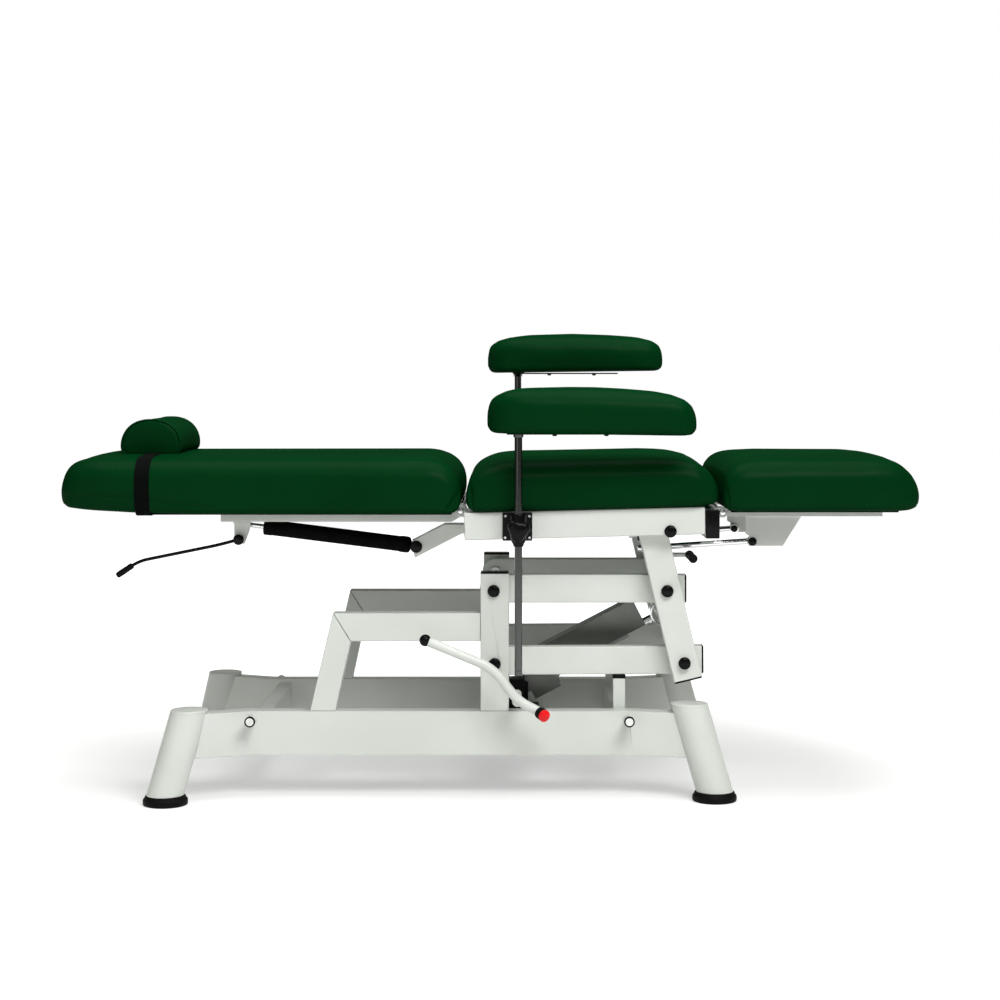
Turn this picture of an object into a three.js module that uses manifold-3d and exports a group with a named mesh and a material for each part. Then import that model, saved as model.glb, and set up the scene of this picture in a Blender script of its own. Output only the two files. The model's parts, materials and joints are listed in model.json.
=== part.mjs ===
// Medical exam table: three padded sections on a hydraulic parallelogram lift, with
// two swivelling armrests and a strapped pillow. Millimetres, +Z up, +X to the foot end,
// near side -Y. The origin is on the floor under the middle of the table.
import * as THREE from 'three';
import { mergeVertices } from 'three/addons/utils/BufferGeometryUtils.js';
import Module from 'manifold-3d';

const wasm = await Module();
wasm.setup();

// ---------------------------------------------------------------- driving dimensions
const gap = 0.3; // between pieces that touch
const pivotClearance = 0.3; // radial, shaft in a bearing bore
const openPivotClearance = 2.4; // radial, where the opened linkage needs room
const wall = 3; // steel tube
const tubeRound = 3; // outer corner of a tube

const couchWidth = 620;
const headEndX = -908;
const legLength = 424; // leg rest, past its hinge
const cushionThick = 112;
const cushionEdge = 34; // rounding of the long edges
const backHinge = { x: -70, z: 604 };
const seatTilt = THREE.MathUtils.degToRad(1.45);

const beam = { y: 228, width: 40, low: 90, high: 182, head: -524, foot: 296 };
const footTube = { radius: 37.5, wall: 3, cap: 4, pad: 20 };
const footRing = { base: 7.5, belly: 9, waist: 5.5, lip: 3.5 }; // past the tube's radius
const feet = [
  { name: 'head', high: 190, top: [-638, beam.y + 44], base: [-681, beam.y + 88] },
  { name: 'foot', high: 202, top: [411, beam.y + 34], base: [463, beam.y + 48] },
];
const crossTube = { width: 30, low: 113, high: 173, headX: -490, footX: 267 };
const peg = { radius: 10, reach: 45, z: 167, headX: -509, footX: 284 };
const stop = { width: 25, top: 251.7 };

const tower = { across: 40, railLow: 329, railHigh: 389, postLow: -28, postHigh: 32, top: 473 };
const towerLeg = { footLow: -388, footHigh: -334, kneeInner: -302, kneeOuter: -339 };

const arm = { across: 30, high: 60, tail: 42, side: 3 }; // side: clearance to the post
const armY = beam.y - (tower.across + arm.across) / 2 - arm.side;
const upperFixed = { x: 0, z: 436 };
const lowerFixed = { x: 2, z: 282 };
const upperMoving = { x: 366, z: 436 };
const lowerMoving = { x: 402, z: 284.5 };
const shaftRadius = 11;

const seatRail = { across: 30, high: 58, start: -62, length: 505 };
const railTop = 603; // of the seat rail at its head end
const carriage = { width: 60, across: 40, below: 37, top: 598, side: 5.7 }; // side: to an arm
const railY = armY + (arm.across + seatRail.across) / 2 + carriage.side + carriage.across + gap;
const innerRailY = railY - 76; // of the backrest's and leg rest's rails
const legHinge = { x: seatRail.start + seatRail.length + 41, z: 601 };
const footEndX = legHinge.x + legLength;
const footCross = { width: 29, high: 61, low: 549 };

const pumpPivot = { x: 50, z: 195 };
const ramPivot = { x: 372, z: 362 };
const crossbarRadius = 12.5;
const ramEyeClearance = 8;
const channel = { over: 60, under: 4, deep: 38, deepEnd: 90, across: 64, start: 26, end: 318 };
const ram = { barrel: 15, rod: 8 };

const backRail = { across: 20, low: 578, high: 598, end: -583 };
const springFixed = { x: -167, z: 523 };
const springMoving = { x: -542, z: 570 };
const springY = innerRailY - 40;
const releasePivot = { x: -545, z: 540 };

const legRail = { across: 20, low: 590, high: 603, length: 345 };
const legPin = { x: legHinge.x + 68, z: 535.5 };
const rodClamp = { x: 346, z: 522 };
const rodRadius = 6.5;
const rodTail = 38;
const sleeveRadius = 14;
const legGrip = { x: 417, z: 508, y: innerRailY + 10, length: 100, radius: 9.5 };

const post = { x: 52, y: couchWidth / 2 + 25, radius: 8, low: 270 };
const armPad = { length: 430, width: 130, thick: 86, nearLow: 773, farLift: 124 };
const clampPlate = { low: 19, high: 81, bottom: 545, top: 602, thick: 8 };
const clampBoss = { width: 32, low: 537, high: 604 };

const pedal = { x: 50, z: 212, y: beam.y + 92, radius: 10 };
const pillow = { x: -743, width: 126, high: 80, length: 280 };

// ---------------------------------------------------------------- materials
const paint = (name, color, roughness, metalness) =>
  new THREE.MeshStandardMaterial({ name, color, roughness, metalness });
const white = paint('frame', 0xe1e4de, 0.4, 0.1);
const vinyl = paint('vinyl', 0x02401c, 0.5, 0);
const black = paint('black', 0x0c0c0d, 0.5, 0);
const rubber = paint('rubber', 0x0a0a0a, 0.8, 0);
const chrome = paint('chrome', 0xdadada, 0.12, 1);

// ---------------------------------------------------------------- shape helpers
/** A closed geometry as a solid that can be cut and joined. */
function solidOf(geometry) {
  const bare = geometry.clone();
  bare.deleteAttribute('normal');
  bare.deleteAttribute('uv');
  const merged = mergeVertices(bare, 1e-4);
  const vertProperties = new Float32Array(merged.attributes.position.array);
  const triVerts = new Uint32Array(merged.index.array);
  return new wasm.Manifold(new wasm.Mesh({ numProp: 3, vertProperties, triVerts }));
}

/** A solid's surface as a geometry. */
function geometryOf(solid) {
  const mesh = solid.getMesh();
  const geometry = new THREE.BufferGeometry();
  geometry.setAttribute('position', new THREE.BufferAttribute(mesh.vertProperties, 3));
  geometry.setIndex(new THREE.BufferAttribute(mesh.triVerts, 1));
  geometry.computeVertexNormals();
  return geometry;
}

const cut = (body, ...tools) =>
  geometryOf(tools.reduce((left, tool) => left.subtract(solidOf(tool)), solidOf(body)));
const join = (...bodies) => geometryOf(bodies.map(solidOf).reduce((all, next) => all.add(next)));

/** A block between two corners. */
function block(x, y, z) {
  const geometry = new THREE.BoxGeometry(x[1] - x[0], y[1] - y[0], z[1] - z[0]);
  return geometry.translate((x[0] + x[1]) / 2, (y[0] + y[1]) / 2, (z[0] + z[1]) / 2);
}

/** A round bar from one point to another. */
function round(radius, from, to, sides = 24) {
  const start = new THREE.Vector3(...from);
  const along = new THREE.Vector3(...to).sub(start);
  const geometry = new THREE.CylinderGeometry(radius, radius, along.length(), sides);
  const turn = new THREE.Quaternion().setFromUnitVectors(
    new THREE.Vector3(0, 1, 0),
    along.clone().normalize(),
  );
  geometry.applyQuaternion(turn);
  const middle = start.addScaledVector(along, 0.5);
  return geometry.translate(middle.x, middle.y, middle.z);
}

/** A round bar across the table at (x, z). */
const across = (radius, x, z, low, high, sides = 24) =>
  round(radius, [x, low, z], [x, high, z], sides);

/** An upright plate: an outline of [x, z] points, or a shape, from one y to another. */
function upright(outline, low, high, bevel = 0) {
  const shape = Array.isArray(outline)
    ? new THREE.Shape(outline.map(([x, z]) => new THREE.Vector2(x, z)))
    : outline;
  const geometry = new THREE.ExtrudeGeometry(shape, {
    depth: high - low - 2 * bevel,
    bevelEnabled: bevel > 0,
    bevelSize: bevel,
    bevelThickness: bevel,
    bevelOffset: -bevel,
    bevelSegments: 2,
    curveSegments: 8,
  });
  return geometry.rotateX(Math.PI / 2).translate(0, high - bevel, 0);
}

/** A plan outline of [x, y] points raised from one height to another. */
function raised(outline, low, high) {
  const shape = new THREE.Shape(outline.map(([x, y]) => new THREE.Vector2(x, y)));
  const depth = high - low;
  return new THREE.ExtrudeGeometry(shape, { depth, bevelEnabled: false }).translate(0, 0, low);
}

/** Points either side of a line of points, mitred at its bends. */
function ribbon(points, half) {
  const sides = [[], []];
  points.forEach((point, i) => {
    const before = points[Math.max(i - 1, 0)];
    const after = points[Math.min(i + 1, points.length - 1)];
    const unit = (a, b) => new THREE.Vector2(b[0] - a[0], b[1] - a[1]).normalize();
    const into = i > 0 ? unit(before, point) : unit(point, after);
    const out = i < points.length - 1 ? unit(point, after) : into;
    const normal = new THREE.Vector2(-into.y - out.y, into.x + out.x).normalize();
    const reach = half / normal.dot(new THREE.Vector2(-into.y, into.x));
    sides[0].push([point[0] + normal.x * reach, point[1] + normal.y * reach]);
    sides[1].unshift([point[0] - normal.x * reach, point[1] - normal.y * reach]);
  });
  return [...sides[0], ...sides[1]];
}

/**
 * A rectangular tube seen from the side as a four-cornered outline. Its long edges are
 * corners 0-1 and 3-2, and both ends are open.
 */
function tube(corners, low, high) {
  const inner = [];
  const v = corners.map(([x, z]) => new THREE.Vector2(x, z));
  const middle = v.reduce((sum, p) => sum.clone().add(p)).multiplyScalar(0.25);
  [[0, 1], [2, 3]].forEach(([a, b]) => {
    const along = v[b].clone().sub(v[a]).normalize();
    const inward = new THREE.Vector2(-along.y, along.x);
    if (inward.dot(middle.clone().sub(v[a])) < 0) inward.negate();
    const shift = inward.multiplyScalar(wall);
    inner.push(v[a].clone().add(shift).addScaledVector(along, -wall * 20));
    inner.push(v[b].clone().add(shift).addScaledVector(along, wall * 20));
  });
  const bore = upright(inner.map((p) => [p.x, p.y]), low + wall, high - wall);
  return cut(upright(corners, low, high, tubeRound), bore);
}

/** A section with rounded long edges, drawn across the table and run along x. */
function cushionBar(width, thick, edge) {
  const half = width / 2;
  const shape = new THREE.Shape();
  const foot = 6;
  shape.moveTo(-half + foot, 0);
  shape.lineTo(half - foot, 0);
  shape.lineTo(half, foot);
  shape.lineTo(half, thick - edge);
  shape.absarc(half - edge, thick - edge, edge, 0, Math.PI / 2, false);
  shape.absarc(-half + edge, thick - edge, edge, Math.PI / 2, Math.PI, false);
  shape.lineTo(-half, foot);
  return shape;
}

/** A cushion from x low to high: the rounded section, trimmed to a side outline. */
function cushion(low, high, base, thick, side) {
  const options = { depth: high - low, bevelEnabled: false, curveSegments: 5 };
  const bar = new THREE.ExtrudeGeometry(cushionBar(couchWidth, thick, cushionEdge), options);
  bar.rotateX(Math.PI / 2).rotateZ(Math.PI / 2).translate(low, 0, base);
  const trim = upright(side, -couchWidth, couchWidth);
  return geometryOf(solidOf(bar).intersect(solidOf(trim)));
}

const table = new THREE.Group();
/** Adds a named piece to a group, at a place and turned about the table's cross axis. */
function add(group, name, geometry, material, place = [0, 0, 0], pitch = 0) {
  const mesh = new THREE.Mesh(geometry, material);
  mesh.name = name;
  mesh.position.set(...place);
  mesh.rotation.y = pitch;
  group.add(mesh);
  return mesh;
}
/** A span in y on one side of the table, given by its distances from the middle. */
const span = (side, inner, outer) => (side < 0 ? [-outer, -inner] : [inner, outer]);
const bothSides = [['near', -1], ['far', 1]];

// ---------------------------------------------------------------- base
const base = new THREE.Group();
table.add(base);
const beamIn = beam.y - beam.width / 2;
const beamOut = beam.y + beam.width / 2;

/** Where the axis of a leaning foot is at a height, on the far side. */
function footAxis(foot, z) {
  const t = (z - footTube.pad) / (foot.high - footTube.pad);
  return [foot.base[0] + (foot.top[0] - foot.base[0]) * t,
    foot.base[1] + (foot.top[1] - foot.base[1]) * t, z];
}

/** A leaning round bar on a foot's axis, between two heights. */
function footBar(foot, side, radius, low, high) {
  const ends = [low, high].map((z) => footAxis(foot, z)).map(([x, y, z]) => [x, y * side, z]);
  return round(radius, ends[0], ends[1], 32);
}

/** Everything between two heights, used to cut a leaning bar level. */
const slice = (low, high) => block([-1000, 1000], [-500, 500], [low, high]);

for (const [sideName, side] of bothSides) {
  const middle = (beam.low + beam.high) / 2;
  const path = [footAxis(feet[0], middle), [beam.head, beam.y], [beam.foot, beam.y],
    footAxis(feet[1], middle)].map(([x, y]) => [x, y * side]);
  const outer = raised(ribbon(path, beam.width / 2), beam.low, beam.high);
  const bore = raised(ribbon(path, beam.width / 2 - wall), beam.low + wall, beam.high - wall);
  const sockets = feet.map((foot) => footBar(foot, side, footTube.radius + gap, -60, 320));
  const bent = cut(outer, bore, ...sockets);
  const pegs = [peg.headX, peg.footX].map((x) => {
    const [low, high] = span(side, beamIn + 1, beamOut + peg.reach);
    return across(peg.radius, x, peg.z, low, high, 24);
  });
  add(base, `base_beam_${sideName}`, join(bent, ...pegs), white);

  for (const foot of feet) {
    const body = footBar(foot, side, footTube.radius, footTube.pad - 40, foot.high + 40);
    const inside = cut(footBar(foot, side, footTube.radius - footTube.wall, -60, 320),
      slice(foot.high - footTube.cap, 400));
    const shell = cut(body, inside, slice(-100, footTube.pad + gap), slice(foot.high, 400));
    add(base, `foot_tube_${foot.name}_${sideName}`, shell, white);
    const turns = [[footRing.base, 0], [footRing.belly, 3], [footRing.belly, 11],
      [footRing.waist, 17], [footRing.lip, footTube.pad]];
    const profile = [[0, 0], ...turns.map(([out, z]) => [footTube.radius + out, z]),
      [0, footTube.pad]].map(([r, z]) => new THREE.Vector2(r, z));
    const pad = new THREE.LatheGeometry(profile, 28).rotateX(Math.PI / 2);
    const [x, y] = foot.base;
    add(base, `rubber_foot_${foot.name}_${sideName}`, pad, rubber, [x, y * side, 0]);
  }
}

/** A square tube between the beams, centred at x. */
function beamSpreader(x) {
  const reach = beamIn - gap;
  const half = crossTube.width / 2;
  const body = block([x - half, x + half], [-reach, reach], [crossTube.low, crossTube.high]);
  const bore = block([x - half + wall, x + half - wall], [-reach - 1, reach + 1],
    [crossTube.low + wall, crossTube.high - wall]);
  return cut(body, bore);
}
add(base, 'base_cross_head', beamSpreader(crossTube.headX), white);
const stops = bothSides.map(([, side]) => block(
  [crossTube.footX - stop.width / 2, crossTube.footX + stop.width / 2],
  span(side, armY - stop.width / 2, armY + stop.width / 2),
  [crossTube.high - 1, stop.top],
));
add(base, 'base_cross_foot', join(beamSpreader(crossTube.footX), ...stops), white);

for (const [sideName, side] of bothSides) {
  const [low, high] = span(side, beam.y - tower.across / 2, beam.y + tower.across / 2);
  const seatZ = beam.high + gap;
  const knee = { inner: [towerLeg.kneeInner, tower.railLow], outer: [towerLeg.kneeOuter,
    tower.railHigh] };
  add(base, `tower_leg_${sideName}`, tube([[towerLeg.footLow, seatZ], [knee.outer[0] - gap,
    knee.outer[1]], [knee.inner[0] - gap, knee.inner[1]], [towerLeg.footHigh, seatZ]],
  low, high), white);
  add(base, `tower_rail_${sideName}`, tube([[knee.outer[0] + gap, knee.outer[1]],
    [tower.postLow - gap, knee.outer[1]], [tower.postLow - gap, knee.inner[1]],
    [knee.inner[0] + gap, knee.inner[1]]], low, high), white);
  const postTube = tube([[tower.postLow, seatZ], [tower.postLow, tower.top],
    [tower.postHigh, tower.top], [tower.postHigh, seatZ]], low, high);
  const trunnions = [upperFixed, lowerFixed].map((pivot) => {
    const reach = span(side, armY - arm.across / 2 - 6, beam.y + tower.across / 2 + 3);
    return across(shaftRadius, pivot.x, pivot.z, reach[0], reach[1]);
  });
  add(base, `tower_post_${sideName}`, join(postTube, ...trunnions), white);
}

// ---------------------------------------------------------------- pump
const pumpCheek = { inner: channel.across / 2 + gap, outer: channel.across / 2 + 12 };
const valve = { x: [34, 66], y: [-112, -62], top: 229 };
const pumpBase = [
  block([0, 100], [-beamIn + gap, beamIn - gap], [112, 128]),
  block(valve.x, valve.y, [127, valve.top]),
  ...bothSides.map(([, side]) => block([26, 74], span(side, pumpCheek.inner, pumpCheek.outer),
    [127, pumpPivot.z + 18])),
  across(8, pumpPivot.x, pumpPivot.z, -pumpCheek.outer - 4, pumpCheek.outer + 4),
];
add(base, 'pump_unit', join(...pumpBase), black);

/** A path of straight runs whose corners are rounded. */
function bentPath(points, bend) {
  const path = new THREE.CurvePath();
  const v = points.map((p) => new THREE.Vector3(...p));
  let last = v[0];
  for (let i = 1; i < v.length - 1; i += 1) {
    const into = v[i - 1].clone().sub(v[i]).setLength(bend).add(v[i]);
    const out = v[i + 1].clone().sub(v[i]).setLength(bend).add(v[i]);
    path.add(new THREE.LineCurve3(last, into));
    path.add(new THREE.QuadraticBezierCurve3(into, v[i], out));
    last = out;
  }
  path.add(new THREE.LineCurve3(last, v[v.length - 1]));
  return path;
}

/** A round rod bent along a path. */
function bentRod(points, bend, radius, steps, sides) {
  const section = new THREE.Shape();
  section.absarc(0, 0, radius, 0, 2 * Math.PI, false);
  const extrudePath = bentPath(points, bend);
  return new THREE.ExtrudeGeometry(section, {
    steps, extrudePath, bevelEnabled: false, curveSegments: sides,
  });
}
const pedalRoute = [[-131, 336], [-13, 291], [30, 235], [97, 191]];
const pedalTube = bentRod(pedalRoute.map(([x, z]) => [x, -pedal.y, z]), 26, pedal.radius, 18, 5);
const pedalGrip = new THREE.SphereGeometry(15, 14, 8).translate(-139, -pedal.y, 339);
const pedalTip = round(12.5, [92, -pedal.y, 193], [112, -pedal.y, 181], 24);
const pedalHub = across(17, pedal.x, pedal.z, -pedal.y - 14, -pedal.y + 14);
const pedalShaft = across(9, pedal.x, pedal.z, -pedal.y, valve.y[0] - gap);
add(base, 'pump_pedal', join(pedalTube, pedalGrip, pedalTip, pedalHub, pedalShaft), white);

// ---------------------------------------------------------------- lift arms
/** A side arm along local x: a round knuckle at its fixed pivot and an open square tail. */
function liftArm(length, side, movingClearance) {
  const [low, high] = span(side, armY - arm.across / 2, armY + arm.across / 2);
  const half = arm.high / 2;
  const end = length + arm.tail;
  const outline = new THREE.Shape();
  outline.moveTo(end, half);
  outline.lineTo(0, half);
  outline.absarc(0, 0, half, Math.PI / 2, 1.5 * Math.PI, false);
  outline.lineTo(end, -half);
  const bore = block([half, end + 1], [low + wall, high - wall], [-half + wall, half - wall]);
  const holes = [[0, pivotClearance], [length, movingClearance]].map(
    ([x, clearance]) => across(shaftRadius + clearance, x, 0, low - 1, high + 1),
  );
  return cut(upright(outline, low, high, tubeRound), bore, ...holes);
}

/** The pitch that turns local +x from one point towards another. */
const pitchOf = (from, to) => -Math.atan2(to.z - from.z, to.x - from.x);
const distance = (from, to) => Math.hypot(to.x - from.x, to.z - from.z);

for (const [sideName, side] of bothSides) {
  add(table, `upper_arm_${sideName}`,
    liftArm(distance(upperFixed, upperMoving), side, pivotClearance), white,
    [upperFixed.x, 0, upperFixed.z], pitchOf(upperFixed, upperMoving));
  add(table, `lower_arm_${sideName}`,
    liftArm(distance(lowerFixed, lowerMoving), side, openPivotClearance), white,
    [lowerFixed.x, 0, lowerFixed.z], pitchOf(lowerFixed, lowerMoving));
}

// ---------------------------------------------------------------- ram
const ramPitch = pitchOf(pumpPivot, ramPivot);
const ramLength = distance(pumpPivot, ramPivot);
const channelHalf = channel.across / 2;
const channelSide = [[channel.start, channel.over], [channel.start, -channel.deep],
  [channel.deepEnd, -channel.deep], [channel.deepEnd, -channel.deep / 2],
  [channel.deepEnd + 40, -channel.under], [channel.end, -channel.under],
  [channel.end, channel.over]];
const channelShell = cut(
  upright(channelSide, -channelHalf, channelHalf),
  block([channel.start - 1, channel.end + 1], [-channelHalf + wall, channelHalf - wall],
    [-channel.deep - 1, channel.over - wall]),
);
const barrelEnd = channel.end - 44;
const barrel = round(ram.barrel, [channel.start + 20, 0, 0], [barrelEnd, 0, 0], 32);
const cylinderEye = across(22, 0, 0, -channelHalf, channelHalf);
const cylinderNeck = block([0, channel.start + 30], [-channelHalf, channelHalf], [-17, 17]);
const ramBody = cut(
  join(cylinderEye, cylinderNeck, barrel, channelShell),
  across(8 + pivotClearance, 0, 0, -60, 60),
  round(ram.rod + gap, [channel.start + 40, 0, 0], [barrelEnd + 5, 0, 0]),
);
add(table, 'ram_cylinder', ramBody, white, [pumpPivot.x, 0, pumpPivot.z], ramPitch);
const eyeRadius = crossbarRadius + ramEyeClearance;
const ramRod = cut(
  join(round(ram.rod, [channel.start + 60, 0, 0], [ramLength - eyeRadius - 2, 0, 0]),
    across(eyeRadius + 7, ramLength, 0, -20, 20, 36)),
  across(eyeRadius, ramLength, 0, -21, 21, 36),
);
add(table, 'ram_rod', ramRod, chrome, [pumpPivot.x, 0, pumpPivot.z], ramPitch);

// ---------------------------------------------------------------- carriage
const carriageOut = railY - seatRail.across / 2 - gap;
const carriageIn = carriageOut - carriage.across;
const lean = Math.atan2(lowerMoving.x - upperMoving.x, upperMoving.z - lowerMoving.z);
const upAlong = (x, s) => [x * Math.cos(lean) - s * Math.sin(lean),
  x * Math.sin(lean) + s * Math.cos(lean)];
for (const [sideName, side] of bothSides) {
  const [low, high] = span(side, carriageIn, carriageOut);
  const half = carriage.width / 2;
  const ends = [-carriage.below, (carriage.top - lowerMoving.z) / Math.cos(lean)];
  const corners = [[-half, ends[0]], [-half, ends[1]], [half, ends[1]], [half, ends[0]]]
    .map(([x, s]) => upAlong(x, s)).map(([x, z]) => [x + lowerMoving.x, z + lowerMoving.z]);
  const holes = [upperMoving, lowerMoving].map(
    (pivot) => across(shaftRadius + gap, pivot.x, pivot.z, low - 1, high + 1),
  );
  const level = block([0, 800], [low - 1, high + 1], [carriage.top, carriage.top + 90]);
  add(table, `carriage_leg_${sideName}`, cut(tube(corners, low, high), ...holes, level), white);
}
const shaftReach = carriageOut + 3;
[['upper', upperMoving], ['lower', lowerMoving]].forEach(([name, pivot]) => {
  const low = name === 'upper' ? -carriageOut : -shaftReach;
  add(table, `pivot_shaft_${name}`, across(shaftRadius, 0, 0, low - 3, -low + 3), chrome,
    [pivot.x, 0, pivot.z]);
});
add(table, 'ram_crossbar', across(crossbarRadius, 0, 0, -carriageIn + gap, carriageIn - gap),
  white, [ramPivot.x, 0, ramPivot.z]);

// The seat frame is tilted, so its pieces sit in a group whose origin is the top of the
// rails at their head end.
const seat = new THREE.Group();
seat.position.set(seatRail.start, 0, railTop);
seat.rotation.y = -seatTilt;
table.add(seat);
const railIn = railY - seatRail.across / 2;
const railOut = railY + seatRail.across / 2;
for (const [sideName, side] of bothSides) {
  const [low, high] = span(side, railIn, railOut);
  add(seat, `seat_rail_${sideName}`, tube([[0, 0], [seatRail.length, 0],
    [seatRail.length, -seatRail.high], [0, -seatRail.high]], low, high), white);
}

/** A hinge lug: a plate with an eye at a pivot and a root on the frame. */
function lug(pivot, root, low, high, radius = 13) {
  const eye = across(radius, pivot.x, pivot.z, low, high, 30);
  return join(eye, upright(root, low, high));
}
const hingeRadius = 6;
const seatLugY = [railIn - 22, railIn - 14];
const headTube = cut(block([-62, -32], [-railIn + gap, railIn - gap], [551, 590]),
  block([-62 + wall, -32 - wall], [-railIn - 1, railIn + 1], [551 + wall, 590 - wall]));
const springPlate = [[-177, 535], [-106, 571], [-62, 571], [-62, 551], [-69, 551], [-170, 499]];
const springPlates = [[springY - 26, springY - 20], [springY + 20, springY + 26]].map(
  ([inner, outer]) => upright([...springPlate.slice(0, 2), [-52, 571], [-52, 551],
    ...springPlate.slice(4)], -outer, -inner),
);
const springPin = across(6, springFixed.x, springFixed.z, -springY - 26, -springY + 26, 20);
const headLugs = bothSides.map(([, side]) => lug(backHinge, [[backHinge.x - 11, backHinge.z],
  [backHinge.x + 11, backHinge.z], [-34, 588], [-60, 588]], ...span(side, ...seatLugY)));
const backShaftHole = across(hingeRadius + gap, backHinge.x, backHinge.z, -300, 300);
add(table, 'seat_cross_head', cut(join(headTube, ...springPlates, springPin, ...headLugs),
  backShaftHole), white);
add(table, 'back_hinge_shaft', across(hingeRadius, 0, 0, -seatLugY[1] - 4, seatLugY[1] + 4),
  chrome, [backHinge.x, 0, backHinge.z]);

const railEndX = seatRail.start + seatRail.length * Math.cos(seatTilt)
  + seatRail.high * Math.sin(seatTilt);
const footCrossX = [railEndX + gap, railEndX + gap + footCross.width];
const footTubeBody = cut(
  block(footCrossX, [-railOut, railOut], [footCross.low, footCross.low + footCross.high]),
  block([footCrossX[0] + wall, footCrossX[1] - wall], [-railOut - 1, railOut + 1],
    [footCross.low + wall, footCross.low + footCross.high - wall]),
);
const footLugs = bothSides.map(([, side]) => lug(legHinge, [[legHinge.x - 14, 610 - 20],
  [legHinge.x - 14, 609], [legHinge.x, 609], [legHinge.x, 590]], ...span(side, ...seatLugY), 11));
const legShaftHole = across(hingeRadius + gap, legHinge.x, legHinge.z, -300, 300);
add(table, 'seat_cross_foot', cut(join(footTubeBody, ...footLugs), legShaftHole), white);
add(table, 'leg_hinge_shaft', across(hingeRadius, 0, 0, -seatLugY[1] - 4, seatLugY[1] + 4),
  chrome, [legHinge.x, 0, legHinge.z]);

// ---------------------------------------------------------------- cushions
const hingeRoom = 16; // round each hinge shaft, kept clear of foam
const vee = 78; // how far a cushion's end leans back over its full thickness
const seatBase = railTop + gap;
const seatSlope = Math.tan(seatTilt);
const seatZ = (x) => seatBase + (x - seatRail.start) * seatSlope;
const seatLow = backHinge.x + hingeRoom;
const seatHigh = legHinge.x - 8;
const seatTop = (x) => seatZ(x) + cushionThick - 6;
const seatOutline = [
  [seatLow + 6, seatZ(seatLow) + 12], [seatLow + 16, seatZ(seatLow + 16)],
  [seatHigh - 6, seatZ(seatHigh - 6)], [seatHigh - 2, seatZ(seatHigh) + 60],
  [seatHigh - 36, seatTop(seatHigh) - 8], [seatHigh - 60, seatTop(seatHigh)],
  [seatLow + vee + 18, seatTop(seatLow)],
];
add(table, 'seat_cushion', cushion(seatLow - 20, seatHigh + 10, seatBase, cushionThick + 12,
  seatOutline), vinyl);

const backBase = backRail.high + gap;
const backHigh = backHinge.x - hingeRoom;
const backOutline = [
  [backHigh - 16, backBase], [backHigh - 6, backBase + 14], [backHigh - vee - 18,
    backBase + cushionThick + 4], [headEndX + 110, backBase + cushionThick + 4],
  [headEndX + 50, backBase + cushionThick - 14], [headEndX + 12, backBase + 70],
  [headEndX, backBase + 26], [headEndX + 10, backBase],
];
add(table, 'backrest_cushion', cushion(headEndX - 10, backHigh + 10, backBase,
  cushionThick + 4, backOutline), vinyl);

const legBase = legRail.high + gap;
const legLow = legHinge.x + 12;
const legOutline = [
  [legLow + 4, legBase], [legLow, legBase + 40], [legLow + 4, legBase + cushionThick - 12],
  [legLow + 20, legBase + cushionThick], [footEndX - 96, legBase + cushionThick - 2],
  [footEndX - 24, legBase + 78], [footEndX, legBase + 28], [footEndX - 4, legBase],
];
add(table, 'leg_cushion', cushion(legLow - 10, footEndX + 10, legBase, cushionThick + 6,
  legOutline), vinyl);

// ---------------------------------------------------------------- backrest frame
for (const [sideName, side] of bothSides) {
  const [low, high] = span(side, innerRailY - backRail.across / 2, innerRailY
    + backRail.across / 2);
  const railEnd = backHinge.x - 4;
  const rail = tube([[backRail.end, backRail.high], [railEnd - 30, backRail.high],
    [railEnd - 30, backRail.low], [backRail.end, backRail.low]], low, high);
  const eye = lug(backHinge, [[railEnd - 44, backRail.low], [railEnd - 44, backRail.high],
    [backHinge.x - 14, backRail.high], [backHinge.x, backHinge.z + 12.9],
    [backHinge.x + 2, backHinge.z - 12.9], [backHinge.x - 20, backRail.low]], low, high);
  const pieces = [rail, eye];
  if (side < 0) {
    const hang = [[-556, backRail.low + 2], [-520, backRail.low + 2], [-524, 556], [-534, 530],
      [-556, 530]];
    const inner = -springY - 20;
    pieces.push(upright(hang, inner - 14, inner - 8));
    pieces.push(block([-556, -520], [low, inner - 8], [backRail.low - 3, backRail.low + 3]));
    pieces.push(across(5, releasePivot.x, releasePivot.z, inner - 18, inner - 9, 20));
  }
  const shaftHole = across(hingeRadius + pivotClearance, backHinge.x, backHinge.z, -300, 300);
  add(table, `back_rail_${sideName}`, cut(join(...pieces), shaftHole), white);
}

const springPitch = pitchOf(springFixed, springMoving);
const springLength = distance(springFixed, springMoving);
const springGroup = new THREE.Group();
springGroup.position.set(springFixed.x, -springY, springFixed.z);
springGroup.rotation.y = springPitch;
table.add(springGroup);
const springBody = { radius: 17, start: 16, end: 332 };
add(springGroup, 'spring_cylinder', cut(
  join(across(13, 0, 0, -9, 9), round(9, [0, 0, 0], [24, 0, 0]),
    round(springBody.radius, [springBody.start, 0, 0], [springBody.end, 0, 0], 28)),
  across(6 + pivotClearance, 0, 0, -30, 30, 24),
  round(5 + gap, [60, 0, 0], [springBody.end + 5, 0, 0], 20),
), black);
add(springGroup, 'spring_rod', join(round(5, [150, 0, 0], [springLength, 0, 0], 20),
  across(8, springLength, 0, -10, 10, 24)), chrome);

const leverRoute = [[-545, 540], [-590, 528], [-758, 494], [-800, 466]];
const leverRod = bentRod(leverRoute.map(([x, z]) => [x, -springY - 42, z]), 12, 3.5, 16, 4);
const leverHub = across(10, releasePivot.x, releasePivot.z, -springY - 47, -springY - 39, 24);
const leverGrip = round(6.5, [-772, -springY - 42, 484.6], [-806, -springY - 42, 461.9], 16);
add(table, 'back_release', join(leverRod, leverHub, leverGrip), black);

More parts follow.
